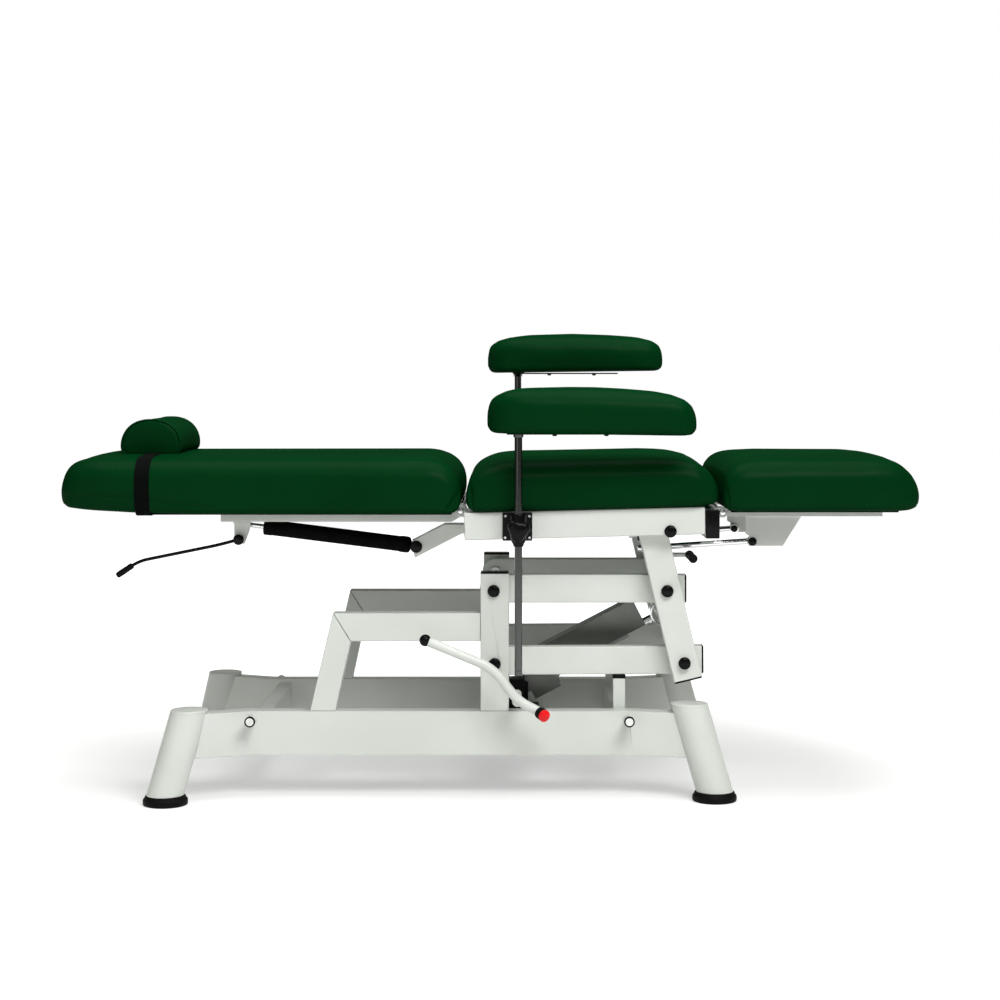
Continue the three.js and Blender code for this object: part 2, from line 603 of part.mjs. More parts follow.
// ---------------------------------------------------------------- leg rest frame
const legEye = 10;
for (const [sideName, side] of bothSides) {
  const [low, high] = span(side, innerRailY - legRail.across / 2, innerRailY
    + legRail.across / 2);
  const rail = block([legHinge.x + 20, legHinge.x + legRail.length], [low, high],
    [legRail.low, legRail.high]);
  const eye = lug(legHinge, [[legHinge.x, legHinge.z - legEye], [legHinge.x, legRail.high],
    [legHinge.x + 30, legRail.high], [legHinge.x + 30, legRail.low]], low, high, legEye);
  const plateY = span(side, innerRailY - 3, innerRailY + 3);
  const plate = upright([[53.5, legRail.low + 2], [174, legRail.low + 2], [133.6, 526],
    [61, 526], [61, 548], [53.5, 552]].map(([x, z]) => [legHinge.x + x, z]), ...plateY);
  const pinReach = span(side, innerRailY - 14, innerRailY + 4);
  const pin = across(6, legPin.x, legPin.z, ...pinReach, 20);
  const shaftHole = across(hingeRadius + pivotClearance, legHinge.x, legHinge.z, -300, 300);
  add(table, `leg_rail_${sideName}`, cut(join(rail, eye, plate, pin), shaftHole), white);
}
const rodPitch = pitchOf(legPin, rodClamp);
const clampLength = distance(legPin, rodClamp);
const rodY = innerRailY - 13;
for (const [sideName, side] of bothSides) {
  const bar = round(rodRadius, [9, 0, 0], [clampLength + rodTail, 0, 0], 24);
  const eye = cut(join(across(11, 0, 0, -5, 5, 24), bar), across(6 + pivotClearance, 0, 0, -9, 9));
  add(table, `leg_rod_${sideName}`, eye, chrome, [legPin.x, rodY * side, legPin.z], rodPitch);
}

// The clamp bar carries a sleeve on each rod. It is drawn along the rods from the pin.
const clampGroup = new THREE.Group();
clampGroup.position.set(legPin.x, 0, legPin.z);
clampGroup.rotation.y = rodPitch;
table.add(clampGroup);
const sleeves = bothSides.map(([, side]) => round(sleeveRadius, [clampLength - 18, rodY * side, 0],
  [clampLength + 18, rodY * side, 0], 28));
const clampTube = block([clampLength - 10, clampLength + 10], [-rodY, rodY], [-10, 10]);
const rodHoles = bothSides.map(([, side]) => round(rodRadius + pivotClearance,
  [clampLength - 40, rodY * side, 0], [clampLength + 40, rodY * side, 0], 24));
add(clampGroup, 'leg_clamp_bar', cut(join(clampTube, ...sleeves), ...rodHoles), black);

const legLeverRoute = [[rodClamp.x, rodClamp.z], [rodClamp.x + 20, legGrip.z],
  [legGrip.x, legGrip.z]];
const legLever = bentRod(legLeverRoute.map(([x, z]) => [x, -legGrip.y, z]), 10, 5, 16, 4);
const sleeveOut = rodY + sleeveRadius + gap;
add(table, 'leg_release', join(
  legLever,
  across(8, rodClamp.x, rodClamp.z, -legGrip.y - 6, -sleeveOut, 24),
  across(legGrip.radius, legGrip.x, legGrip.z, -legGrip.y - legGrip.length, -legGrip.y, 24),
), black);

// ---------------------------------------------------------------- armrests
const padEndRadius = armPad.width / 2;
/** A pad in plan: a half-round end on the post's axis and a rounded square far end. */
function padOutline() {
  const far = armPad.length - padEndRadius;
  const corner = 40;
  const half = padEndRadius;
  const shape = new THREE.Shape();
  shape.absarc(0, 0, half, Math.PI / 2, 1.5 * Math.PI, false);
  shape.lineTo(far - corner, -half);
  shape.absarc(far - corner, -half + corner, corner, -Math.PI / 2, 0, false);
  shape.absarc(far - corner, half - corner, corner, 0, Math.PI / 2, false);
  return shape;
}
for (const [sideName, side] of bothSides) {
  const lift = side < 0 ? 0 : armPad.farLift;
  const y = post.y * side;
  const padLow = armPad.nearLow + lift;
  const place = [post.x, y, padLow];
  const pad = new THREE.ExtrudeGeometry(padOutline(), {
    depth: armPad.thick - 16, bevelEnabled: true, bevelSize: 8, bevelThickness: 8,
    bevelOffset: -8, bevelSegments: 2, curveSegments: 5,
  }).translate(0, 0, 8);
  const socket = round(post.radius + pivotClearance, [0, 0, -1], [0, 0, 20]);
  add(table, `arm_pad_${sideName}`, cut(pad, socket), vinyl, place);
  add(table, `arm_post_${sideName}`, round(post.radius, [0, 0, post.low - armPad.nearLow],
    [0, 0, 19], 28), chrome, place);

  const [inner, outer] = span(side, railOut + gap, railOut + gap + clampPlate.thick);
  const plateY = [inner, outer];
  const bossReach = post.y + 14;
  const boss = block([post.x - clampBoss.width / 2, post.x + clampBoss.width / 2],
    span(side, railOut + clampPlate.thick, bossReach), [clampBoss.low, clampBoss.high]);
  const plate = block([clampPlate.low, clampPlate.high], plateY, [clampPlate.bottom,
    clampPlate.top]);
  const knobHole = across(5 + gap, post.x, 572, ...span(side, post.y + 3, bossReach + 2), 20);
  const bore = round(post.radius + pivotClearance, [post.x, y, 500], [post.x, y, 640]);
  add(table, `arm_clamp_${sideName}`, cut(join(plate, boss), bore, knobHole), black);

  const lobes = [...Array(5)].map((_, i) => {
    const turn = (i / 5) * 2 * Math.PI + Math.PI / 2;
    const reach = span(side, bossReach + 1, bossReach + 21);
    return across(9, 17 * Math.cos(turn), 17 * Math.sin(turn), reach[0], reach[1], 16);
  });
  const stem = across(5, 0, 0, ...span(side, post.y + post.radius + 1, bossReach + 3), 20);
  const hub = across(18, 0, 0, ...span(side, bossReach + 1, bossReach + 21), 28);
  add(table, `clamp_knob_${sideName}`, join(hub, stem, ...lobes), black, [post.x, 0, 572]);
}

// ---------------------------------------------------------------- pillow
const arch = new THREE.Shape();
arch.moveTo(pillow.width / 2, 0);
arch.lineTo(pillow.width / 2, 8);
arch.absellipse(0, 8, pillow.width / 2, pillow.high - 8, 0, Math.PI, false);
arch.lineTo(-pillow.width / 2, 0);
add(table, 'head_pillow', upright(arch, -pillow.length / 2, pillow.length / 2), vinyl,
  [pillow.x, 0, backBase + cushionThick + 4 + gap]);

export default table;
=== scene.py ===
"""Looks of a medical exam table: cushions, coated steel, caps, levers and small fittings.

Every piece is built in metres in the part's own frame, +X to the foot end, +Z up and the
near side at -Y, and rides on the body that carries it.
"""

import json
import logging
import math
from dataclasses import dataclass, field
from enum import Enum
from typing import Callable, Iterable, Optional, Sequence

import bmesh
import bpy
import numpy as np
from mathutils import Matrix, Vector
from mathutils.bvhtree import BVHTree

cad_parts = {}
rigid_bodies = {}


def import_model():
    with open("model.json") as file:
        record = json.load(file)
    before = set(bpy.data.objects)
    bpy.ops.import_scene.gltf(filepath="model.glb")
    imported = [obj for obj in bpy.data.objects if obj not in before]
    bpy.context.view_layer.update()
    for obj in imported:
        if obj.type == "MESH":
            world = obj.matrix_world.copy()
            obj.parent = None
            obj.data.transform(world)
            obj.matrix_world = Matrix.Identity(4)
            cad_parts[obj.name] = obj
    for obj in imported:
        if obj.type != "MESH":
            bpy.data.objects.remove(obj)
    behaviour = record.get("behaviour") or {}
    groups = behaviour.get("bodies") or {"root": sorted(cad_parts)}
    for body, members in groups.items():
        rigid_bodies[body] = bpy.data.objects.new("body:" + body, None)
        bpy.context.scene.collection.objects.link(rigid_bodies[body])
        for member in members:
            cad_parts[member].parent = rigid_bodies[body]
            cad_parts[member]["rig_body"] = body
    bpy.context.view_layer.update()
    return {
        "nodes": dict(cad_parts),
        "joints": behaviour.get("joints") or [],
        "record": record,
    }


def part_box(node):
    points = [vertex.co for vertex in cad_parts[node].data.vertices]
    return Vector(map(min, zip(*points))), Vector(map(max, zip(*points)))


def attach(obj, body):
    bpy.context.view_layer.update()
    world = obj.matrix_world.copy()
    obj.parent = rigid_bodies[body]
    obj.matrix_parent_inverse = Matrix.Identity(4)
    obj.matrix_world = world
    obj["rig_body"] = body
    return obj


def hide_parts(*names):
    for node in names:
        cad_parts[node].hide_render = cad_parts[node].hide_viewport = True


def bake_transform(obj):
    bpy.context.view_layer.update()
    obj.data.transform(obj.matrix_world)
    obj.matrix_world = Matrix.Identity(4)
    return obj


log = logging.getLogger("exam_table")
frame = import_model()
JOINT_AT = {joint["name"]: joint["pos_m"] for joint in frame["joints"] if "pos_m" in joint}
Point = Sequence[float]
Colour = tuple[float, float, float]


class Side(Enum):
    """The two long sides of the table."""

    NEAR = -1
    FAR = 1

    @property
    def tag(self) -> str:
        """The word that node and piece names end in."""
        return self.name.lower()


# ------------------------------------------------------------------ shader maths
class Wire:
    """A shader socket that takes part in Python arithmetic."""

    def __init__(self, graph: "Graph", socket: bpy.types.NodeSocket) -> None:
        """Wraps a socket of a graph."""
        self.graph = graph
        self.socket = socket

    def _math(self, operation: str, a: object, b: object) -> "Wire":
        """Adds a Math node on two values."""
        return self.graph.node("ShaderNodeMath", {"operation": operation}, {0: a, 1: b})

    def __add__(self, other: object) -> "Wire":
        """Adds."""
        return self._math("ADD", self, other)

    def __mul__(self, other: object) -> "Wire":
        """Multiplies."""
        return self._math("MULTIPLY", self, other)

    __radd__ = __add__
    __rmul__ = __mul__


class Graph:
    """A material's node tree, built by one general method."""

    def __init__(self, name: str) -> None:
        """Starts a material with an empty tree."""
        self.material = bpy.data.materials.new(name)
        self.material.use_nodes = True
        self.tree = self.material.node_tree
        self.tree.nodes.clear()

    def node(self, kind: str, settings: Optional[dict] = None,
             inputs: Optional[dict] = None, out: object = 0) -> Wire:
        """Adds a node.

        Args:
            kind: The node's type.
            settings: Its properties; "stops" fills a colour ramp.
            inputs: Values or wires by socket name or number.
            out: The output that is returned.

        Returns:
            The chosen output.
        """
        made = self.tree.nodes.new(kind)
        for key, value in (settings or {}).items():
            if key == "stops":
                ramp = made.color_ramp
                while len(ramp.elements) < len(value):
                    ramp.elements.new(0.5)
                for element, (position, colour) in zip(ramp.elements, value):
                    element.position = position
                    element.color = (*colour, 1)
            else:
                setattr(made, key, value)
        for key, value in (inputs or {}).items():
            if isinstance(value, Wire):
                self.tree.links.new(value.socket, made.inputs[key])
            else:
                made.inputs[key].default_value = value
        return Wire(self, made.outputs[out])

    def place(self, scale: Point = (1, 1, 1)) -> Wire:
        """Object coordinates, in metres, stretched by a scale."""
        where = self.node("ShaderNodeTexCoord", out="Object")
        return self.node("ShaderNodeVectorMath", {"operation": "MULTIPLY"}, {0: where, 1: scale})

    def noise(self, size: float, detail: float = 3, at: Optional[Wire] = None) -> Wire:
        """Noise whose blotches are about size metres across."""
        return self.node("ShaderNodeTexNoise", None, {
            "Vector": at or self.place(), "Scale": 1 / size, "Detail": detail})

    def mix(self, factor: object, a: Colour, b: Colour) -> Wire:
        """Mixes two colours."""
        return self.node("ShaderNodeMix", {"data_type": "RGBA"}, {
            0: factor, 6: (*a, 1), 7: (*b, 1)}, out=2)

    def between(self, value: Wire, low: float, high: float,
                to_low: float = 0, to_high: float = 1) -> Wire:
        """Maps a value from one range to another, clamped."""
        return self.node("ShaderNodeMapRange", None, {
            0: value, 1: low, 2: high, 3: to_low, 4: to_high})

    def bump(self, height: Wire, distance: float, strength: float = 1,
             under: Optional[Wire] = None) -> Wire:
        """A bump of a height that is distance metres high."""
        inputs = {"Height": height, "Distance": distance, "Strength": strength}
        if under:
            inputs["Normal"] = under
        return self.node("ShaderNodeBump", None, inputs)

    def finish(self, **sockets: object) -> bpy.types.Material:
        """Ends in a Principled shader with the given sockets, underscores for spaces."""
        inputs = {key.replace("_", " "): value for key, value in sockets.items()}
        shader = self.node("ShaderNodeBsdfPrincipled", None, inputs, out="BSDF")
        self.node_output(shader)
        return self.material

    def node_output(self, shader: Wire) -> None:
        """Joins a shader to the material's surface."""
        end = self.tree.nodes.new("ShaderNodeOutputMaterial")
        self.tree.links.new(shader.socket, end.inputs["Surface"])


# ------------------------------------------------------------------ finishes
@dataclass(frozen=True)
class PowderCoat:
    """Baked powder on steel: fine orange peel and a slight unevenness of tone."""

    name: str = "white_powder_coat"
    colour: Colour = (0.76, 0.78, 0.745)
    shade: Colour = (0.71, 0.735, 0.695)
    roughness: float = 0.42
    peel: float = 0.0022

    def make(self) -> bpy.types.Material:
        """Builds the material."""
        g = Graph(self.name)
        tone = g.between(g.noise(0.16, 2), 0.35, 0.65)
        fine = g.noise(self.peel, 2)
        dust = g.between(g.noise(0.03, 5), 0.45, 0.75)
        rough = g.between(dust, 0, 1, self.roughness - 0.05, self.roughness + 0.06)
        return g.finish(
            Base_Color=g.mix(tone, self.colour, self.shade), Roughness=rough,
            Normal=g.bump(fine, 0.00005, 0.5), Coat_Weight=0.12, Coat_Roughness=0.25)


@dataclass(frozen=True)
class Vinyl:
    """Upholstery vinyl with an embossed leather grain and a soft satin sheen."""

    name: str = "green_vinyl"
    colour: Colour = (0.0003, 0.0315, 0.0066)
    deep: Colour = (0.0003, 0.0262, 0.0055)
    roughness: float = 0.46
    grain: float = 0.0016

    def make(self) -> bpy.types.Material:
        """Builds the material."""
        g = Graph(self.name)
        tone = g.between(g.noise(0.22, 3), 0.35, 0.65)
        cells = g.node("ShaderNodeTexVoronoi", {"feature": "DISTANCE_TO_EDGE"}, {
            "Vector": g.place(), "Scale": 1 / self.grain})
        pores = g.between(cells, 0.0, 0.12)
        soft = g.noise(0.018, 4)
        grain = g.bump(pores, 0.00006, 0.55)
        supple = g.bump(soft, 0.0006, 0.25, grain)
        rough = g.between(g.noise(0.008, 3), 0.3, 0.7, self.roughness - 0.05,
                          self.roughness + 0.07)
        return g.finish(
            Base_Color=g.mix(tone, self.colour, self.deep), Roughness=rough, Normal=supple,
            Specular_IOR_Level=0.0, Coat_Weight=0.05, Coat_Roughness=0.38)


@dataclass(frozen=True)
class Moulded:
    """Moulded plastic or rubber with a fine spark-eroded texture."""

    name: str
    colour: Colour
    roughness: float
    texture: float = 0.0009
    depth: float = 0.00004
    gloss: float = 0.11

    def make(self) -> bpy.types.Material:
        """Builds the material."""
        g = Graph(self.name)
        lighter = tuple(c * 1.5 + 0.001 for c in self.colour)
        tone = g.between(g.noise(0.02, 4), 0.4, 0.8)
        rough = g.between(g.noise(0.006, 3), 0.3, 0.7, self.roughness - 0.06,
                          self.roughness + 0.08)
        return g.finish(
            Base_Color=g.mix(tone, self.colour, lighter), Roughness=rough,
            Normal=g.bump(g.noise(self.texture, 2), self.depth, 0.6),
            Specular_IOR_Level=self.gloss)


@dataclass(frozen=True)
class Plated:
    """Bright plated steel with faint draw lines along one axis."""

    name: str = "chrome_plate"
    colour: Colour = (0.74, 0.75, 0.76)
    roughness: float = 0.13

    def make(self) -> bpy.types.Material:
        """Builds the material."""
        g = Graph(self.name)
        lines = g.noise(0.0012, 2, g.place((0.05, 1, 1)))
        rough = g.between(lines, 0.3, 0.7, self.roughness - 0.04, self.roughness + 0.07)
        tone = g.between(g.noise(0.04, 3), 0.4, 0.8)
        darker = tuple(c * 0.9 for c in self.colour)
        return g.finish(Base_Color=g.mix(tone, self.colour, darker), Metallic=1.0,
                        Roughness=rough, Normal=g.bump(lines, 0.000006, 0.4))


@dataclass(frozen=True)
class Webbing:
    """Black woven webbing: ribs across the band and a fine twill."""

    name: str = "black_webbing"
    colour: Colour = (0.0010, 0.0015, 0.0012)
    rib: float = 0.0022

    def make(self) -> bpy.types.Material:
        """Builds the material."""
        g = Graph(self.name)
        weave = g.node("ShaderNodeTexWave", {"bands_direction": "Z"}, {
            "Vector": g.place((1, 1, 1)), "Scale": 0.35 / self.rib, "Distortion": 1.2})
        twill = g.node("ShaderNodeTexWave", {"bands_direction": "X"}, {
            "Vector": g.place((1, 1, 1)), "Scale": 0.6 / self.rib, "Distortion": 0.6})
        height = weave * 0.6 + twill * 0.4
        lighter = tuple(c * 2.2 for c in self.colour)
        return g.finish(Base_Color=g.mix(height, self.colour, lighter), Roughness=0.85,
                        Normal=g.bump(height, 0.0003, 0.7), Specular_IOR_Level=0.05)


WHITE = PowderCoat().make()
GREEN = Vinyl().make()
BLACK_PLASTIC = Moulded("black_plastic", (0.0022, 0.0022, 0.0024), 0.26).make()
BLACK_COAT = Moulded("black_coat", (0.0022, 0.0022, 0.0024), 0.42, 0.0016).make()
BLACK_RUBBER = Moulded("black_rubber", (0.0020, 0.0021, 0.0020), 0.6, 0.0012, 0.00008).make()
BLACK_SLEEVE = Moulded("spring_sleeve", (0.0012, 0.0012, 0.0012), 0.7, 0.0030, 0.0007, 0.05).make()
RED_PLASTIC = Moulded("red_plastic", (0.80, 0.003, 0.006), 0.3, gloss=0.3).make()
WHITE_PLASTIC = Moulded("white_plastic", (0.86, 0.86, 0.85), 0.35, gloss=0.4).make()
BOARD = Moulded("board_edge", (0.003, 0.0035, 0.003), 0.7, 0.003, gloss=0.1).make()
CHROME = Plated().make()
DARK_CHROME = Plated("dark_chrome", (0.070, 0.072, 0.070), 0.12).make()
# Painted shade: the ram cylinder carries the white frame coat, and this dark metal stands in for
# the shadow that it sits in under the seat.
RAM_PAINTED_SHADE = Plated("cylinder_steel", (0.17, 0.175, 0.165), 0.36).make()
ZINC = Plated("zinc_plate", (0.80, 0.81, 0.82), 0.30).make()
WEBBING = Webbing().make()


# ------------------------------------------------------------------ mesh tools
def mesh_piece(name: str, verts: Iterable[Point], faces: Iterable[Sequence[int]],
               finish: bpy.types.Material, crease: float = 35) -> bpy.types.Object:
    """Makes a mesh object, smooth except where faces meet at more than crease degrees.

    Args:
        name: The piece's name.
        verts: Its points, in metres.
        faces: Its faces.
        finish: Its material.
        crease: Angle above which an edge stays sharp.

    Returns:
        The new object.
    """
    mesh = bpy.data.meshes.new(name)
    mesh.from_pydata([tuple(v) for v in verts], [], [tuple(f) for f in faces])
    obj = bpy.data.objects.new(name, mesh)
    bpy.context.scene.collection.objects.link(obj)
    return dress(tidy_normals(obj), finish, crease)


def tidy_normals(obj: bpy.types.Object) -> bpy.types.Object:
    """Turns every face outwards."""
    with_bmesh(obj, lambda bm: bmesh.ops.recalc_face_normals(bm, faces=bm.faces))
    return obj


def with_bmesh(obj: bpy.types.Object, edit: Callable[[bmesh.types.BMesh], object]) -> None:
    """Runs an edit on an object's mesh."""
    bm = bmesh.new()
    bm.from_mesh(obj.data)
    edit(bm)
    bm.to_mesh(obj.data)
    bm.free()


def dress(obj: bpy.types.Object, finish: bpy.types.Material,
          crease: float = 35) -> bpy.types.Object:
    """Gives an object one material and smooth faces with sharp creases."""
    obj.data.materials.clear()
    obj.data.materials.append(finish)
    for polygon in obj.data.polygons:
        polygon.use_smooth = True
    obj.data.set_sharp_from_angle(angle=math.radians(crease))
    return obj


def bevelled(obj: bpy.types.Object, width: float, segments: int = 2,
             angle: float = 30) -> bpy.types.Object:
    """Rounds an object's sharp edges and applies it."""
    modifier = obj.modifiers.new("round", "BEVEL")
    modifier.width = width
    modifier.segments = segments
    modifier.limit_method = "ANGLE"
    modifier.angle_limit = math.radians(angle)
    modifier.use_clamp_overlap = False
    apply_modifiers(obj)
    return obj


def apply_modifiers(obj: bpy.types.Object) -> None:
    """Bakes an object's modifiers into its mesh."""
    graph = bpy.context.evaluated_depsgraph_get()
    fresh = bpy.data.meshes.new_from_object(obj.evaluated_get(graph))
    old = obj.data
    obj.modifiers.clear()
    obj.data = fresh
    bpy.data.meshes.remove(old)


def skinned(name: str, rings: Sequence[Sequence[Point]], finish: bpy.types.Material,
            crease: float = 35, caps: bool = True, loop: bool = False) -> bpy.types.Object:
    """Skins rings of points, all of one length, from the first to the last.

    Args:
        name: The piece's name.
        rings: The rings, in order.
        finish: The material.
        crease: Angle above which an edge stays sharp.
        caps: Whether the first and last rings are closed by faces.
        loop: Whether the last ring joins the first again.

    Returns:
        The new object.
    """
    n, count = len(rings[0]), len(rings)
    faces = []
    for k in range(count if loop else count - 1):
        m = (k + 1) % count
        faces += [[k * n + i, k * n + (i + 1) % n, m * n + (i + 1) % n, m * n + i]
                  for i in range(n)]
    if caps:
        faces.append(list(range(n))[::-1])
        faces.append(list(range((count - 1) * n, count * n)))
    return mesh_piece(name, [point for ring in rings for point in ring], faces, finish, crease)


def angles(count: int) -> list[float]:
    """Evenly spaced angles round a full turn."""
    return [2 * math.pi * i / count for i in range(count)]


def turned(name: str, profile: Sequence[Point], origin: Point, axis: Point,
           finish: bpy.types.Material, sides: int = 48) -> bpy.types.Object:
    """Turns a profile of (radius, height) points about an axis through origin."""
    turn = Vector((0, 0, 1)).rotation_difference(Vector(axis).normalized())
    rings = [[turn @ Vector((radius * math.cos(a), radius * math.sin(a), height))
              + Vector(origin) for a in angles(sides)] for radius, height in profile]
    return skinned(name, rings, finish)


def smooth_route(points: Sequence[Point], bend: float, step: float = 0.004) -> list[Vector]:
    """A route through corner points with each corner rounded by a curve."""
    v = [Vector(p) for p in points]
    route = [v[0]]
    for before, corner, after in zip(v, v[1:], v[2:]):
        reach = min(bend, (corner - before).length / 2, (after - corner).length / 2)
        a = corner + (before - corner).normalized() * reach
        b = corner + (after - corner).normalized() * reach
        count = max(4, int(reach * 2 / step))
        for i in range(count + 1):
            t = i / count
            route.append(a * (1 - t) ** 2 + corner * 2 * t * (1 - t) + b * t * t)
    route.append(v[-1])
    return route


def swept(name: str, route: Sequence[Vector], section: Sequence[Point],
          finish: bpy.types.Material, caps: bool = True,
          scales: Optional[Sequence[float]] = None, up: Point = (0, 0, 1)) -> bpy.types.Object:
    """Sweeps a closed section of (side, up) points along a route.

    Args:
        name: The piece's name.
        route: Points along the middle.
        section: The section's outline.
        finish: The material.
        caps: Whether the ends are closed.
        scales: A size factor for each route point.
        up: The direction that the section's second axis leans to at the start.

    Returns:
        The swept object.
    """
    tangents = []
    for i in range(len(route)):
        before = route[max(i - 1, 0)]
        after = route[min(i + 1, len(route) - 1)]
        tangents.append((after - before).normalized())
    side = tangents[0].cross(Vector(up)).normalized()
    rings = []
    for i, (point, tangent) in enumerate(zip(route, tangents)):
        if i:
            side = tangents[i - 1].rotation_difference(tangent) @ side
        side = (side - tangent * side.dot(tangent)).normalized()
        rise = side.cross(tangent)
        k = scales[i] if scales else 1.0
        rings.append([point + side * (a * k) + rise * (b * k) for a, b in section])
    return skinned(name, rings, finish, 45, caps)


def circle(radius: float, sides: int = 24) -> list[tuple[float, float]]:
    """A round section."""
    return [(radius * math.cos(a), radius * math.sin(a)) for a in angles(sides)]


def rod(name: str, route: Sequence[Vector], radius: float, finish: bpy.types.Material,
        ends: float = 0.3, sides: int = 24) -> bpy.types.Object:
    """A round rod whose two ends are eased."""
    path = list(route)
    easing = radius * ends
    head = (path[1] - path[0]).normalized()
    tail = (path[-1] - path[-2]).normalized()
    full = ([path[0], path[0] + head * easing * 0.3, path[0] + head * easing]
            + path[1:-1] + [path[-1] - tail * easing, path[-1] - tail * easing * 0.3, path[-1]])
    low = 1 - ends
    scales = [low, 1 - ends * 0.3, 1] + [1] * (len(path) - 2) + [1, 1 - ends * 0.3, low]
    return swept(name, full, circle(radius, sides), finish, scales=scales)


def slab(name: str, low: Point, high: Point, finish: bpy.types.Material,
         bevel: float = 0.002, segments: int = 3) -> bpy.types.Object:
    """A block between two corners with eased edges."""
    outline = [(low[0], low[2]), (high[0], low[2]), (high[0], high[2]), (low[0], high[2])]
    ends = [[(x, y, z) for x, z in outline] for y in (low[1], high[1])]
    return dress(bevelled(skinned(name, ends, finish), bevel, segments), finish)


def place(obj: bpy.types.Object, body: str, slot: str,
          *stands_for: str) -> bpy.types.Object:
    """Puts a piece on its body, standing for CAD nodes if any are named."""
    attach(obj, body)
    if stands_for:
        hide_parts(*stands_for)
    log.info("%s rides on %s", obj.name, body)
    return obj


def join(name: str, pieces: Sequence[bpy.types.Object]) -> bpy.types.Object:
    """Joins several meshes into one named object that keeps their materials."""
    keep = pieces[0]
    with bpy.context.temp_override(active_object=keep, selected_editable_objects=pieces):
        bpy.ops.object.join()
    keep.name = name
    keep.data.name = name
    return keep


def middle(node: str) -> Vector:
    """The middle of a CAD node's box."""
    low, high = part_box(node)
    return (low + high) / 2


def span(side: Side, inner: float, outer: float) -> tuple[float, float]:
    """A stretch of y on one side, given as distances from the middle."""
    return (-outer, -inner) if side is Side.NEAR else (inner, outer)


# ------------------------------------------------------------------ camera and studio
@dataclass
class Studio:
    """The camera, lamps, floor and white surroundings."""

    eye: Point = (0.045, -4.6, 0.902)
    shift: tuple[float, float] = (-0.015, -0.130)
    lens: float = 74.27
    floor_size: float = 14.0
    world_strength: float = 0.24
    world_tint: tuple[float, float, float, float] = (0.95, 1.0, 0.88, 1)

    def build(self) -> None:
        """Builds everything that isn't the object."""
        self.camera()
        self.world()
        self.floor()
        self.lamps()
        bpy.context.scene.view_settings.view_transform = "Standard"

    def camera(self) -> None:
        """Makes the camera, on the near side and level with the armrests."""
        data = bpy.data.cameras.new("camera")
        data.lens = self.lens
        data.sensor_width = 36
        data.shift_x, data.shift_y = self.shift
        data.clip_end = 100
        obj = bpy.data.objects.new("camera", data)
        obj.location = self.eye
        obj.rotation_euler = (math.radians(90), 0, 0)
        bpy.context.scene.collection.objects.link(obj)
        bpy.context.scene.camera = obj

    def world(self) -> None:
        """White to the camera and through glass, dimmer and slightly warm as a light."""
        world = bpy.data.worlds.new("studio")
        bpy.context.scene.world = world
        world.use_nodes = True
        tree = world.node_tree
        tree.nodes.clear()
        path = tree.nodes.new("ShaderNodeLightPath")
        seen = tree.nodes.new("ShaderNodeMath")
        seen.operation = "MAXIMUM"
        tree.links.new(path.outputs["Is Camera Ray"], seen.inputs[0])
        tree.links.new(path.outputs["Is Transmission Ray"], seen.inputs[1])
        light = tree.nodes.new("ShaderNodeBackground")
        light.inputs["Strength"].default_value = self.world_strength
        white = tree.nodes.new("ShaderNodeBackground")
        mix = tree.nodes.new("ShaderNodeMixShader")
        light.inputs["Color"].default_value = self.world_tint
        white.inputs["Color"].default_value = (1, 1, 1, 1)
        tree.links.new(seen.outputs[0], mix.inputs[0])
        tree.links.new(light.outputs[0], mix.inputs[1])
        tree.links.new(white.outputs[0], mix.inputs[2])
        end = tree.nodes.new("ShaderNodeOutputWorld")
        tree.links.new(mix.outputs[0], end.inputs["Surface"])

    def floor(self) -> None:
        """A pale floor that looks white where it is lit and keeps the shadow."""
        half = self.floor_size / 2
        verts = [(-half, -half, 0), (half, -half, 0), (half, half, 0), (-half, half, 0)]
        g = Graph("studio_floor")
        mottle = g.between(g.noise(0.4, 3), 0.3, 0.7, 0.70, 0.72)
        tint = g.node("ShaderNodeCombineColor", None, {0: mottle, 1: mottle, 2: mottle})
        diffuse = g.node("ShaderNodeBsdfDiffuse", None, {"Color": tint})
        away = g.node("ShaderNodeVectorMath", {"operation": "LENGTH"}, {0: g.place()}, out=1)
        glow = g.between(away, 0.8, 2.6, 0.42, 1.1)
        tone = g.node("ShaderNodeCombineColor", None, {0: glow, 1: glow, 2: glow})
        lift = g.node("ShaderNodeEmission", None, {"Color": tone})
        bright = g.node("ShaderNodeAddShader", None, {0: diffuse, 1: lift})
        path = g.node("ShaderNodeLightPath", out="Is Camera Ray")
        gloss = g.node("ShaderNodeLightPath", out="Is Glossy Ray")
        seen = g.node("ShaderNodeMath", {"operation": "MAXIMUM"}, {0: path, 1: gloss})
        g.node_output(g.node("ShaderNodeMixShader", None, {0: seen, 1: diffuse, 2: bright}))
        floor = mesh_piece("studio_floor", verts, [(0, 1, 2, 3)], g.material)

    def lamps(self) -> None:
        """A key from the front right, a wide soft lamp overhead and a weak fill."""
        self.lamp("front_key", (1.35, -3.2, 3.6), (0.1, 0, 0.45), (2.6, 1.5), 140)
        self.lamp("overhead", (0.0, -0.1, 3.4), (0, 0, 0.6), (3.4, 2.2), 84)
        self.lamp("front_fill", (-2.2, -4.4, 1.2), (0, 0, 0.5), (2.4, 1.6), 13)

    def lamp(self, name: str, at: Point, aim: Point, size: tuple[float, float],
             power: float) -> None:
        """Adds one rectangular lamp.

        Args:
            name: Its name.
            at: Where it hangs.
            aim: The point that it faces.
            size: Its width and height.
            power: Watts.
        """
        data = bpy.data.lights.new(name, "AREA")
        data.shape = "RECTANGLE"
        data.size, data.size_y = size
        data.energy = power
        obj = bpy.data.objects.new(name, data)
        obj.location = at
        obj.rotation_euler = (Vector(aim) - Vector(at)).to_track_quat("-Z", "Y").to_euler()
        bpy.context.scene.collection.objects.link(obj)


